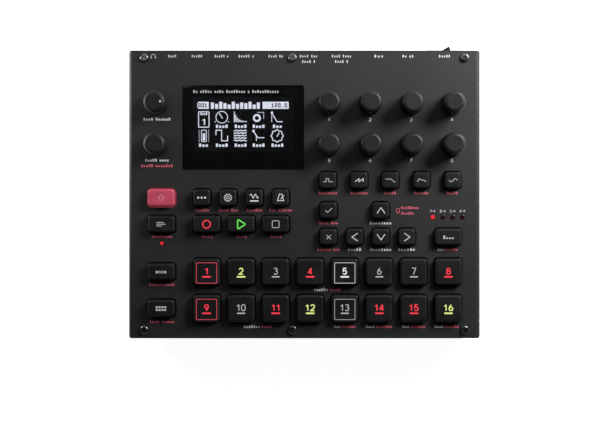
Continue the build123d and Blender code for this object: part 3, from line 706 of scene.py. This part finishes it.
class DRUM_OT_panel_prints(bpy.types.Operator):
    """The prints on the cover: plain numbers, symbols, and rows of plain bars"""
    bl_idname = "drum.panel_prints"
    bl_label = "Print the panel"

    def execute(self, context):
        settings = context.scene.drum_case
        self.height = settings.mark_height / MM
        white = self.rear_marks() + self.rows((
            ("volume_knob", 0, KNOB_DROP, 16.9, (4, 6)), ("level_knob", 0, KNOB_DROP, 14.8, (5, 4)),
            ("up_key", 0, KEY_DROP, 13.7, (8,)), ("left_key", 0, KEY_DROP, 8.4, (5,)),
            ("down_key", 0, KEY_DROP, 13.4, (8,)), ("right_key", 0, KEY_DROP, 10.6, (6,)),
        ))
        red = self.key_marks()
        half_gap, mark_pitch = 0.25, 1.4
        for x, y, before, after in self.pair_places():
            white += self.marks(x - half_gap - before / 2, y, before, round(before / mark_pitch))
            red += self.marks(x + half_gap + after / 2, y, after, round(after / mark_pitch))
        number_height, number_line = settings.number_height / MM, 0.38
        for i, name in enumerate(DATA_KNOBS, 1):
            x, y, _ = centre(name)
            white += numeral(str(i), x, y - KNOB_DROP, number_height, number_line)
        page_rise, page_height, page_line = 15.8, 0.8 * number_height, 0.3
        x, y, _ = centre("page_key")
        for i in range(4):
            white += numeral(f"{i + 1}:4", x + LAMP_PITCH * (i - 1.5), y + page_rise, page_height, page_line)
        inks = {
            "white": (white, settings.white_print),
            "red": (red, settings.red_print),
            "dim": (self.group_lines(), settings.dim_print),
        }
        for name, (shape, tone) in inks.items():
            thin_piece(f"panel_print_{name}", shape, PANEL_TOP, settings.print_thickness / MM, "case",
                       print_ink(f"{name}_print", tone))
        return {"FINISHED"}

    def marks(self, x, y, width, *words, fill=0.68):
        return mark_row(x, y, width, words, self.height, fill)

    def rows(self, table):
        """Rows of bars: a node, how far to the right of and below its centre, the width, and the groups."""
        shape = []
        for name, right, drop, width, words in table:
            x, y, _ = centre(name)
            shape += self.marks(x + right, y - drop, width, *words)
        return shape

    def rear_marks(self):
        """Marks beside the sockets in the rear wall, from left to right, and a headphone symbol."""
        first, second, fill = REAR_EDGE - 3.75, REAR_EDGE - 7.05, 0.5
        sockets = sorted(mount(name).x for name in JACKS + ROUND_SOCKETS + ["usb_socket", "dc_inlet_pin"])
        rocker_shift, symbol_shift = 0.5, 3.6
        shape = self.marks(centre("power_rocker")[0] + rocker_shift, first, 7.4, 5, fill=fill)
        for x, width, words in zip(sockets[1:], (5.3, 6.8, 8.9, 9.9, 9.3, 11.2, 12.3, 6.2, 7.2),
                                   ((4,), (5,), (5, 1), (5, 1), (4, 2), (4, 3), (4, 4), (3,), (2, 2))):
            shape += self.marks(x, first, width, *words, fill=fill)
        for x in sockets[6:8]:
            shape += self.marks(x, second, 8.6, 4, 1, fill=fill)
        headphones = stroke(arc(0, 0, 1.35, 1.35, -10, 190), 0.35)
        for side in (-1, 1):
            headphones += bar(side * 1.25, -0.55, 0.75, 1.2, 0.2)
        return shape + placed(headphones, sockets[0] + symbol_shift, first)

    def key_marks(self):
        """The red rows, and the ring between the up key and its two rows."""
        shape = self.rows((
            ("level_knob", 0, KNOB_DROP + 3.4, 19.7, (5, 7)), ("track_key", 0, 7.8, 12.9, (8,)),
            ("pattern_key", 0, 8.1, 15.8, (10,)), ("bank_key", 0, 8.6, 15.5, (4, 5)),
            ("sound_menu_key", 0, 7.8, 8.7, (6,)), ("settings_key", 0, 7.8, 12.0, (4, 3)),
            ("effects_key", 0, 7.8, 10.0, (7,)), ("metronome_key", 0, 7.8, 14.2, (3, 6)),
            ("record_key", 0, 7.8, 6.8, (4,)), ("play_key", 0, 7.8, 6.8, (5,)),
            ("stop_key", 0, 7.8, 7.4, (5,)), ("parameter_key_1", 0, KEY_DROP, 11.6, (8,)),
            ("parameter_key_2", 0, KEY_DROP, 10.9, (7,)), ("parameter_key_3", 0, KEY_DROP, 7.4, (5,)),
            ("parameter_key_4", 0, KEY_DROP, 9.1, (6,)), ("parameter_key_5", 0, KEY_DROP, 7.0, (5,)),
            ("yes_key", 0, KEY_DROP, 12.0, (4, 3)), ("no_key", 0, KEY_DROP, 14.4, (6, 3)),
            ("up_key", 17.9, -1.5, 11.1, (8,)), ("up_key", 16.5, 1.9, 7.9, (6,)),
        ))
        x, y, _ = centre("up_key")
        ring_right, ring_drop, ring_width, ring_height, line, corner = 10.7, 0.1, 2.1, 3.3, 0.4, 0.9
        return shape + border(x + ring_right, y - ring_drop, ring_width, ring_height, line, corner)

    def pair_places(self):
        """Where a white and a red row meet, and the width of each."""
        places = []
        for name, right, drop, before, after in (
            ("page_key", -1.75, KEY_DROP, 4.2, 7.7), ("step_key_04", 11.4, REAR_DROP, 9.1, 7.3),
            ("step_key_11", -9.3, FRONT_DROP, 10.2, 6.7), ("step_key_13", -2.2, FRONT_DROP, 4.2, 8.8),
            ("step_key_14", -2.2, FRONT_DROP, 5.6, 10.2), ("step_key_15", -2.2, FRONT_DROP, 4.5, 9.2),
            ("step_key_16", -2.2, FRONT_DROP, 5.6, 8.8),
        ):
            x, y, _ = centre(name)
            places.append((x + right, y - drop, before, after))
        return places

    def group_lines(self):
        """Faint lines under the first and the last step of each row's groups."""
        width, line = 5.6, 0.4
        shape = []
        for name, drop in (("step_key_01", 11.1), ("step_key_08", 11.1), ("step_key_09", FRONT_DROP),
                           ("step_key_12", FRONT_DROP)):
            x, y, _ = centre(name)
            shape += bar(x, y - drop, width, line)
        return shape


class DRUM_OT_keys(bpy.types.Operator):
    """Satin caps on pale plungers, the lit function key, and the switches under them"""
    bl_idname = "drum.keys"
    bl_label = "Finish the keys"

    def execute(self, context):
        settings = context.scene.drum_keys
        plunger_reach, roof = 2.9, 1.4
        for name in KEYS:
            x, y, top = centre(name)
            lit = name == "function_key"
            cap = function_key_satin(settings.function_cap) if lit else key_satin(settings.cap)

            def choose(px, py, pz, x=x, y=y, top=top):
                return 1 if math.hypot(px - x, py - y) < plunger_reach and pz < top - roof else 0

            paint(name, cap, plunger_plastic(), choose=choose)
        paint("key_switches", switch_housing())
        return {"FINISHED"}


class DRUM_OT_step_legends(bpy.types.Operator):
    """The step numbers with their bars, and the frames on the marked steps"""
    bl_idname = "drum.step_legends"
    bl_label = "Light the step numbers"

    def execute(self, context):
        settings = context.scene.drum_keys
        frame_red, frame_share = (0.62, 0.065, 0.10), 0.62
        lit = {
            "red": glowing("legend_red", settings.lit_red, 0.95),
            "lime": glowing("legend_lime", settings.lit_lime, 0.9),
            "white": glowing("legend_white", settings.lit_white, 0.9),
            # The numbers that aren't lit glow too: painted light in place of the light their print catches.
            "plain": glowing("legend_plain", settings.unlit, 0.8),
            "frame_red": glowing("frame_red", frame_red, 0.8),
            "frame_white": glowing("frame_white", scaled(settings.lit_white, frame_share), 0.8),
            "frame_dim": glowing("frame_dim", settings.dim, 0.9),
        }
        shades = dict.fromkeys((1, 4, 8, 9, 11, 14, 15), "red") | dict.fromkeys((2, 12, 16), "lime")
        shades[5] = "white"
        frames = {1: "frame_red", 5: "frame_white", 9: "frame_red", 13: "frame_dim"}
        number_rise, bar_drop, frame_drop, frame_corner = 0.55, 2.85, 0.5, 0.6
        plain_width, plain_thickness, bar_corner = 0.92, 0.75, 1 / 2.2
        for i, name in enumerate(STEP_KEYS, 1):
            x, y, top = centre(name)
            line = (settings.bold_line if i in shades else settings.thin_line) / MM
            wide, tall = settings.bar_width / MM, settings.bar_thickness / MM
            if i not in shades:
                wide, tall = plain_width * wide, plain_thickness * tall
            legend = numeral(str(i), x, y + number_rise, settings.digit_height / MM, line)
            legend += bar(x, y - bar_drop, wide, tall, tall * bar_corner)
            pieces = {"legend": (legend, shades.get(i, "plain"))}
            if i in frames:
                size = settings.frame_size / MM
                shape = border(x, y - frame_drop, size, size, settings.frame_line / MM, frame_corner)
                pieces["frame"] = shape, frames[i]
            for kind, (shape, shade) in pieces.items():
                thin_piece(name.replace("key", kind), shape, top, settings.legend_thickness / MM, name,
                           lit[shade])
        return {"FINISHED"}


class DRUM_OT_symbol_legends(bpy.types.Operator):
    """Plain symbols on every key that has no number"""
    bl_idname = "drum.symbol_legends"
    bl_label = "Put symbols on the keys"

    def execute(self, context):
        settings = context.scene.drum_keys
        pink, soft_share = (0.72, 0.26, 0.32), 0.55
        shades = {
            "white": glowing("symbol_white", settings.lit_white, 0.7),
            "soft": glowing("symbol_soft", scaled(settings.lit_white, soft_share), 0.8),
            "pink": glowing("symbol_pink", pink, 0.6),
            "red": glowing("symbol_red", settings.lit_red, 0.9),
            "green": glowing("symbol_green", settings.lit_green, 0.9),
        }
        for name, (shape, shade) in self.symbols(settings.symbol_line / MM).items():
            x, y, top = centre(name)
            thin_piece(name.replace("_key", "_symbol"), placed(shape, x, y), top,
                       settings.legend_thickness / MM, name, shades[shade])
        return {"FINISHED"}

    def symbols(self, line):
        """Each key's symbol about the origin, and its shade."""
        bold, corner = 0.75, 0.45
        shapes = {"record_key": (ring(0, 0, 2.7, bold), "red")}
        triangle = arc(-1.65, 2.25, corner, corner, 180, 60, 3) + arc(1.9, 0, corner, corner, 60, -60, 3)
        triangle += arc(-1.65, -2.25, corner, corner, -60, -180, 3)
        shapes["play_key"] = stroke(triangle, bold, closed=True), "green"
        shapes["stop_key"] = border(0, 0, 4.6, 4.6, 0.45, 0.8), "soft"
        shapes["sound_menu_key"] = disc(-2.1, 0, 0.6) + disc(0, 0, 0.6) + disc(2.1, 0, 0.6), "white"
        shapes["settings_key"] = self.gear(), "white"
        wave = stroke([(u / 8, 0.95 + 1.2 * math.sin(math.tau * u / 21)) for u in range(-20, 21)], line)
        shapes["effects_key"] = wave + bar(0, -2.0, 5.2, 0.7, 0.3), "white"
        cone = stroke([(-1.9, -1.8), (1.9, -1.8), (0.75, 2.2), (-0.75, 2.2)], line, closed=True)
        shapes["metronome_key"] = cone + stroke([(0.0, -0.9), (2.0, 1.5)], line), "white"
        chevron = stroke([(-2.4, -1.75), (0, 1.75), (2.4, -1.75)], line)
        for name, turn in (("up_key", 0), ("left_key", 90), ("down_key", 180), ("right_key", 270)):
            shapes[name] = placed(chevron, 0, 0, turn=math.radians(turn)), "white"
        shapes["yes_key"] = stroke([(-2.0, 0.1), (-0.7, -1.2), (2.0, 1.4)], line), "soft"
        cross = stroke([(-1.35, -1.35), (1.35, 1.35)], line) + stroke([(-1.35, 1.35), (1.35, -1.35)], line)
        shapes["no_key"] = cross, "soft"
        return shapes | self.wide_symbols(line)

    def gear(self):
        """The outline of a cog with ten teeth, round a small ring."""
        tip, root, hub, line, count = 2.3, 1.75, 0.95, 0.3, 40
        outline = []
        for i in range(count):
            angle, radius = math.tau * i / count, tip if i % 4 in (0, 1) else root
            outline.append((radius * math.cos(angle), radius * math.sin(angle)))
        return stroke(outline, line, closed=True) + ring(0, 0, hub, line)

    def wide_symbols(self, line):
        """Low, wide symbols: an arrow, tracks, steps, banks, a page, and five curves."""
        arrow = [(0, 1.7), (2.0, 0), (0.9, 0), (0.9, -1.5), (-0.9, -1.5), (-0.9, 0), (-2.0, 0)]
        tracks = bar(-0.6, 1.1, 4.4, line) + bar(0.0, 0, 5.6, line) + bar(-1.2, -1.1, 3.2, line)
        steps, banks, page = [], [], []
        pitch = 1.7
        for i in range(4):
            u = pitch * (i - 1.5)
            steps += bar(u, 0, 1.2, 1.4) if i in (0, 3) else border(u, 0, 1.2, 1.4, 0.3, 0.1)
            banks += bar(u, 0.85, 1.25, 1.05) + bar(u, -0.85, 1.25, 1.05)
            page += bar(u, -0.7, 1.25, 0.9) if i else bar(u, -0.1, 1.25, 2.1)
        pulse = [(-3.0, -0.9), (-1.2, -0.9), (-1.2, 0.95), (0.4, 0.95), (0.4, -0.9), (3.0, -0.9)]
        saw = [(-2.6, -0.9), (-0.2, 0.95), (-0.2, -0.9), (2.4, 0.95), (2.4, -0.9)]
        bend = arc(0.0, -0.1, 0.8, 0.8, 80, 20, 4)
        slope = [(-3.0, 0.7), (0.0, 0.7), *bend, (2.2, -1.0), (3.0, -1.0)]
        fall = [(-2.7, -0.95), (-1.6, 0.95), (-0.6, 0.1), (1.0, 0.1), (2.7, -0.95)]
        wave = [(u / 8, 0.95 * math.sin(math.tau * u / 40)) for u in range(-20, 21, 2)]
        return {
            "function_key": (stroke(arrow, 0.45, closed=True), "pink"),
            "track_key": (tracks, "soft"),
            "pattern_key": (steps, "soft"),
            "bank_key": (banks, "soft"),
            "page_key": (page, "soft"),
            "parameter_key_1": (stroke(pulse, line), "soft"),
            "parameter_key_2": (stroke(saw, line), "white"),
            "parameter_key_3": (stroke(slope, line), "soft"),
            "parameter_key_4": (stroke(fall, line), "soft"),
            "parameter_key_5": (stroke(wave, line), "soft"),
        }


class DRUM_OT_knobs(bpy.types.Operator):
    """Soft-touch caps on steel shafts, the white dot, and the encoders under them"""
    bl_idname = "drum.knobs"
    bl_label = "Finish the knobs"

    def execute(self, context):
        settings = context.scene.drum_knobs
        dot = finish("pointer_paint", settings.pointer, 0.4, 0.5, patch=0.001, bump=0.05, variation=0.04)
        shaft_reach, roof = 3.05, 1.9
        dot_offset, dot_reach, dot_depth = 3.75, 0.63, 0.35
        for name in KNOBS:
            x, y, top = centre(name)

            def choose(px, py, pz, x=x, y=y, top=top, dotted=name == "volume_knob"):
                if dotted and pz > top - dot_depth and math.hypot(px - x - dot_offset, py - y) < dot_reach:
                    return 2
                return 1 if math.hypot(px - x, py - y) < shaft_reach and pz < top - roof else 0

            paint(name, knob_rubber(settings.cap), plated_steel(), dot, choose=choose)
        paint("encoders", cast_zinc())
        return {"FINISHED"}


# The screen's pixels across and up, and its small digits as rows of three pixels from the top.
SCREEN_WIDTH, SCREEN_HEIGHT = 128, 64
PIXEL_DIGITS = {"0": (7, 5, 5, 5, 7), "1": (2, 6, 2, 2, 7), "2": (7, 1, 7, 4, 7), ".": (0, 0, 0, 0, 2)}


class DRUM_OT_display(bpy.types.Operator):
    """The clear window with the black print behind it, the display's glass and its lit image"""
    bl_idname = "drum.display"
    bl_label = "Build the display"

    def execute(self, context):
        settings = context.scene.drum_display
        paint("display_window", clear_acrylic())
        glass_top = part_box("display_module")[1].z / MM
        glass_thickness, carrier_thickness = 1.8, 1.6
        carrier_top = glass_top - glass_thickness
        carrier_under = carrier_top - carrier_thickness

        def choose(x, y, z):
            if z > carrier_top + TOUCH:
                return 0
            return 1 if z > carrier_under - TOUCH else 2

        paint("display_module", screen_glass(settings.glass), solder_mask(), chip_epoxy(), choose=choose)
        low, high = (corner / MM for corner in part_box("display_window"))
        x, y = (low.x + high.x) / 2, (low.y + high.y) / 2
        trim, image_rise, outer_corner, inner_corner = 0.4, 2.0, 1.0, 0.5
        image_y = y + image_rise
        mask = between(rounded(x, y, high.x - low.x - trim, high.y - low.y - trim, outer_corner),
                       rounded(x, image_y, settings.view_width / MM, settings.view_depth / MM, inner_corner))
        mask_thickness, marks_thickness, image_thickness = 0.1, 0.04, 0.05
        thin_piece("window_mask", mask, low.z - mask_thickness - SINK, mask_thickness, "case",
                   mask_print(settings.mask))
        marks_shift, marks_drop, marks_width, marks_height = 4.5, 7.0, 52.6, 1.2
        marks = mark_row(x - marks_shift, high.y - marks_drop, marks_width, (2, 5, 4, 8, 1, 11), marks_height,
                         fill=0.5)
        thin_piece("window_marks", marks, high.z, marks_thickness, "case",
                   print_ink("window_print", context.scene.drum_case.white_print))
        pixel = settings.pixel / MM
        image = placed(self.image(), x - SCREEN_WIDTH / 2 * pixel, image_y - SCREEN_HEIGHT / 2 * pixel, pixel)
        thin_piece("display_image", image, glass_top, image_thickness, "case",
                   glowing("display_pixels", settings.image, 0.95))
        return {"FINISHED"}

    def image(self):
        """The lit image in pixels: a header over two rows of plain controls with marks under them."""
        shape = self.header() + self.track()
        # A dial, falling bars, a ring with a dotted corner, and a falling line.
        shape += ring(33.4, 42.2, 8.8, 1.1) + stroke([(34.5, 40.5), (29.5, 48.2)], 1.3)
        shape += box(23.5, 35, 25, 36.5) + box(42, 35, 43.5, 36.5)
        for i in range(10):
            shape += box(50.5 + 1.9 * i, 35.3, 51.8 + 1.9 * i, 36.2 + 14 * math.exp(-0.42 * i))
        shape += ring(83.0, 41.0, 5.6, 2.6)
        for i in range(5):
            shape += box(84 + 2 * i, 48.4, 85.1 + 2 * i, 49.5)
        for i in range(4):
            shape += box(92, 40.4 + 2 * i, 93.1, 41.5 + 2 * i)
        shape += disc(104.3, 48.6, 1.7) + stroke([(104.9, 46.9), (111.5, 35.8), (119.5, 35.8)], 1.2)
        shape += stroke([(104.0, 46.5), (104.0, 35.5)], 0.9)
        # A square wave, stacked waves, a second falling line, and a scalloped dial.
        shape += stroke([(25.2, 17), (25.2, 23.8), (33.2, 23.8), (33.2, 8.8), (41.6, 8.8), (41.6, 16)], 1.3)
        for i in range(5):
            ripple = [(50.5 + u / 2, 9.3 + 3.5 * i + 0.55 * math.sin(u * 0.52 + i)) for u in range(37)]
            shape += stroke(ripple, 1.5)
        shape += disc(78.2, 22.8, 1.8) + stroke([(78.9, 21.1), (84.6, 13.2), (93.5, 13.2)], 1.3)
        shape += stroke([(82.2, 15.3), (82.2, 8.5)], 0.9)
        scallops, count = [], 96
        for i in range(count):
            angle, radius = math.tau * i / count, 8.0 + 0.75 * math.cos(math.tau * i / 12)
            scallops.append((111.7 + radius * math.cos(angle), 15.8 + radius * math.sin(angle)))
        shape += stroke(scallops, 1.3, closed=True) + stroke([(111.2, 14.8), (114.8, 20.4)], 1.3)
        upper, lower, marks_height = 28.7, 2.0, 3.3
        for u, v, width, count in (
            (33.4, upper, 18, 4), (60.0, upper, 18, 4), (85.5, upper, 18, 4), (112.0, upper, 14, 3),
            (7.5, lower, 14, 3), (33.4, lower, 18, 4), (60.0, lower, 18, 4), (85.5, lower, 18, 4),
            (112.0, lower, 18, 4),
        ):
            shape += mark_row(u, v, width, (count,), marks_height)
        return shape

    def header(self):
        """A slot number and a tempo knocked out of two lit boxes, with a row of bars between them."""
        shape = self.knocked_out(0, 54, 15, 64, "001") + self.knocked_out(91, 54, 128, 64, "120.0")
        for i, tall in enumerate((9, 7, 10, 8, 6, 10, 7, 9, 8, 10, 6, 9)):
            shape += box(18 + 5.9 * i, 54, 22.4 + 5.9 * i, 54 + tall)
        return shape

    def knocked_out(self, x0, y0, x1, y1, text):
        """A lit box with dark digits at its right end, drawn as the lit cells around them."""
        size, margin, rows = 1.15, 1.2, 5
        columns = 4 * len(text) + 1
        left, low = x1 - margin - columns * size, (y0 + y1) / 2 - rows / 2 * size
        right, high = left + columns * size, low + rows * size
        shape = box(x0, y0, x1, low) + box(x0, high, x1, y1)
        shape += box(x0, low, left, high) + box(right, low, x1, high)
        for row in range(rows):
            v = high - (row + 1) * size
            for column in range(columns):
                digit, bit = divmod(column - 1, 4)
                dark = column and bit < 3 and PIXEL_DIGITS[text[digit]][row] & (4 >> bit)
                if not dark:
                    u = left + column * size
                    shape += box(u, v, u + size, v + size)
        return shape

    def track(self):
        """The track box with its number, and the level slider between two columns of dots."""
        shape = border(8, 39, 16, 23, 1.3, 1.5) + mark_row(8, 46.5, 10.5, (4,), 2.6)
        shape += numeral("1", 8, 35.5, 10, 1.8)
        shape += border(8, 15.8, 7.8, 17.4, 1.0, 1.8) + box(6.4, 9, 9.6, 19.5)
        for u in (0.8, 14.1):
            for i in range(7):
                shape += box(u, 7.4 + 2.6 * i, u + 1.1, 8.5 + 2.6 * i)
        return shape


class DRUM_OT_boards(bpy.types.Operator):
    """Solder mask, chips, and the lamps that show through the cover"""
    bl_idname = "drum.boards"
    bl_label = "Finish the boards and lamps"

    def execute(self, context):
        settings = context.scene.drum_keys
        lenses = self.lenses(settings)
        pale = finish("key_lamp_package", (0.75, 0.74, 0.66), 0.4, 0.5, patch=0.002, bump=0.05)
        # The lowest point of the lenses, the control board's faces, and the top of the main board.
        lens_low, control_top = PANEL_TOP - 7.5, PANEL_TOP - 9.0
        control_under, main_top = control_top - 1.6, mount("dc_inlet_pin").z - 5.5

        def choose(x, y, z):
            if z > lens_low:
                nearest = min(range(len(self.axes)), key=lambda i: math.dist(self.axes[i], (x, y)))
                return 3 + nearest
            if z > control_top + TOUCH:
                return 1
            return 2 if main_top + TOUCH < z < control_under - TOUCH else 0

        paint("circuit_boards", solder_mask(), pale, chip_epoxy(), *lenses, choose=choose)
        return {"FINISHED"}

    def lenses(self, settings):
        """A lens for the status lamp and for each page lamp; the first of those is lit as well."""
        page_x, page_y, _ = centre("page_key")
        track_x, track_y, _ = centre("track_key")
        status_drop, page_rise, status_rim, page_rim = 11.7, 12.1, 1.15, 1.45
        self.axes = [(track_x, track_y - status_drop)]
        self.axes += [(page_x + LAMP_PITCH * (i - 1.5), page_y + page_rise) for i in range(4)]
        lenses = []
        for i, axis in enumerate(self.axes):
            # A lamp that isn't lit still glows faintly at its axis: a painted highlight on its lens.
            tone, strength = (settings.lamp, 1.0) if i < 2 else (settings.lamp_off, 0.25)
            rim = (page_rim if i else status_rim) * MM
            lenses.append(lamp_lens(f"lamp_lens_{i}", tone, strength, [place * MM for place in axis], rim))
        return lenses


class DRUM_OT_rear_sockets(bpy.types.Operator):
    """Plastic housings, the metal sleeves, shells and contacts in their mouths, and the power rocker"""
    bl_idname = "drum.rear_sockets"
    bl_label = "Finish the rear sockets"

    def execute(self, context):
        # The metal lies between these distances from a socket's axis.
        jack_sleeve, round_shell, inlet_pin = (2.9, 3.3), (6.9, 7.1), (0.0, 1.1)
        sleeves = [(mount(name), *jack_sleeve) for name in JACKS]
        sleeves += [(mount(name), *round_shell) for name in ROUND_SOCKETS]
        sleeves += [(mount("dc_inlet_pin"), *inlet_pin)]
        shell = mount("usb_socket")
        shell_reach, shell_wall, shell_depth, shell_rise = 4.3, 0.15, 9.5, 0.3
        outer_skin = 0.05

        def choose(x, y, z):
            if y > REAR_EDGE - outer_skin:
                return 0
            for axis, inner, outer in sleeves:
                if inner < math.hypot(x - axis.x, z - axis.z) < outer:
                    return 1
            across, up = abs(x - shell.x), abs(z - shell.z)
            on_wall = abs(max(across, up + shell_rise) - shell_reach) < shell_wall
            return 1 if on_wall and y > REAR_EDGE - shell_depth else 0

        paint("rear_sockets", socket_housing(), plated_steel(), choose=choose)
        paint("power_rocker", rocker_gloss())
        return {"FINISHED"}


class DRUM_OT_stage(bpy.types.Operator):
    """A pale floor, soft lights and a camera straight above"""
    bl_idname = "drum.stage"
    bl_label = "Set the stage"

    def execute(self, context):
        settings = context.scene.drum_stage
        scene = context.scene
        scene.view_settings.view_transform = "Standard"
        self.floor(settings)
        world = bpy.data.worlds.new("soft_sky")
        world.use_nodes = True
        sky_tone = (0.95, 0.97, 1.0)
        feed(world.node_tree, world.node_tree.nodes["Background"].inputs[:2], (sky_tone, settings.sky))
        scene.world = world
        for name, place, size in (("key_light", (332, 241, 296), 190), ("back_light", (-41, 262, 290), 420),
                                  ("side_light", (-290, 90, 88), 70)):
            self.light(name, place, size, getattr(settings, name))
        camera = bpy.data.cameras.new("camera")
        camera.lens = settings.camera_lens
        camera.sensor_width = 36.0
        holder = bpy.data.objects.new("camera", camera)
        camera_x, camera_y = -2.72, CASE_MIDDLE - 13.24
        holder.location = (camera_x * MM, camera_y * MM, settings.camera_height)
        scene.collection.objects.link(holder)
        scene.camera = holder
        return {"FINISHED"}

    def floor(self, settings):
        """A sheet 80 m wide, which adds a glow of its own for the camera and keeps the shadow."""
        half = 40.0
        corners = [(-half, -half, 0), (half, -half, 0), (half, half, 0), (-half, half, 0)]
        mesh = bpy.data.meshes.new("floor")
        mesh.from_pydata(corners, [], [(0, 1, 2, 3)])
        floor = bpy.data.objects.new("floor", mesh)
        bpy.context.scene.collection.objects.link(floor)
        material = finish("floor_paper", settings.floor, 0.85, 0.95, grain=0.001, patch=0.3, bump=0.02,
                          variation=0.004)
        tree = material.node_tree
        path = tree.nodes.new("ShaderNodeLightPath")
        seen = calculate(tree, "MAXIMUM", path.outputs["Is Camera Ray"], path.outputs["Is Transmission Ray"])
        seen = calculate(tree, "MAXIMUM", seen, path.outputs["Is Glossy Ray"])
        glow = tree.nodes.new("ShaderNodeEmission")
        tree.links.new(calculate(tree, "MULTIPLY", seen, settings.floor_glow), glow.inputs["Strength"])
        both = tree.nodes.new("ShaderNodeAddShader")
        feed(tree, both.inputs, (tree.nodes["Principled BSDF"].outputs[0], glow.outputs[0]))
        tree.links.new(both.outputs[0], tree.nodes["Material Output"].inputs["Surface"])
        mesh.materials.append(material)

    def light(self, name, place, size, power):
        """A square soft light that looks at the panel; its place and size are in millimetres.

        The place is measured from the case's middle.
        """
        lamp = bpy.data.lights.new(name, "AREA")
        lamp.shape = "SQUARE"
        lamp.size = size * MM
        lamp.energy = power
        holder = bpy.data.objects.new(name, lamp)
        holder.location = (Vector(place) + Vector((0.0, CASE_MIDDLE, 0.0))) * MM
        target = Vector((0.0, CASE_MIDDLE, PANEL_TOP)) * MM
        holder.rotation_euler = (target - holder.location).to_track_quat("-Z", "Y").to_euler()
        bpy.context.scene.collection.objects.link(holder)


class DRUM_PT_sidebar(bpy.types.Panel):
    """Lists the steps that dress the drum machine, and their settings"""
    bl_idname = "DRUM_PT_sidebar"
    bl_label = "Drum Machine"
    bl_space_type = "VIEW_3D"
    bl_region_type = "UI"
    bl_category = "Drum Machine"

    def draw(self, context):
        for operator in OPERATORS:
            self.layout.operator(operator.bl_idname)
        for name, kind in SETTINGS.items():
            column = self.layout.box()
            for label in kind.__annotations__:
                column.prop(getattr(context.scene, name), label)


SETTINGS = {
    "drum_case": CaseSettings,
    "drum_keys": KeySettings,
    "drum_knobs": KnobSettings,
    "drum_display": DisplaySettings,
    "drum_stage": StageSettings,
}
OPERATORS = (
    DRUM_OT_case,
    DRUM_OT_panel_prints,
    DRUM_OT_keys,
    DRUM_OT_step_legends,
    DRUM_OT_symbol_legends,
    DRUM_OT_knobs,
    DRUM_OT_display,
    DRUM_OT_boards,
    DRUM_OT_rear_sockets,
    DRUM_OT_stage,
)


def register():
    for kind in (*SETTINGS.values(), *OPERATORS, DRUM_PT_sidebar):
        bpy.utils.register_class(kind)
    for name, kind in SETTINGS.items():
        setattr(bpy.types.Scene, name, PointerProperty(type=kind))


def unregister():
    for name in SETTINGS:
        delattr(bpy.types.Scene, name)
    for kind in (DRUM_PT_sidebar, *reversed(OPERATORS), *SETTINGS.values()):
        bpy.utils.unregister_class(kind)


def main():
    register()
    bpy.ops.drum.case()
    bpy.ops.drum.panel_prints()
    bpy.ops.drum.keys()
    bpy.ops.drum.step_legends()
    bpy.ops.drum.symbol_legends()
    bpy.ops.drum.knobs()
    bpy.ops.drum.display()
    bpy.ops.drum.boards()
    bpy.ops.drum.rear_sockets()
    bpy.ops.drum.stage()


if __name__ == "__main__":
    main()
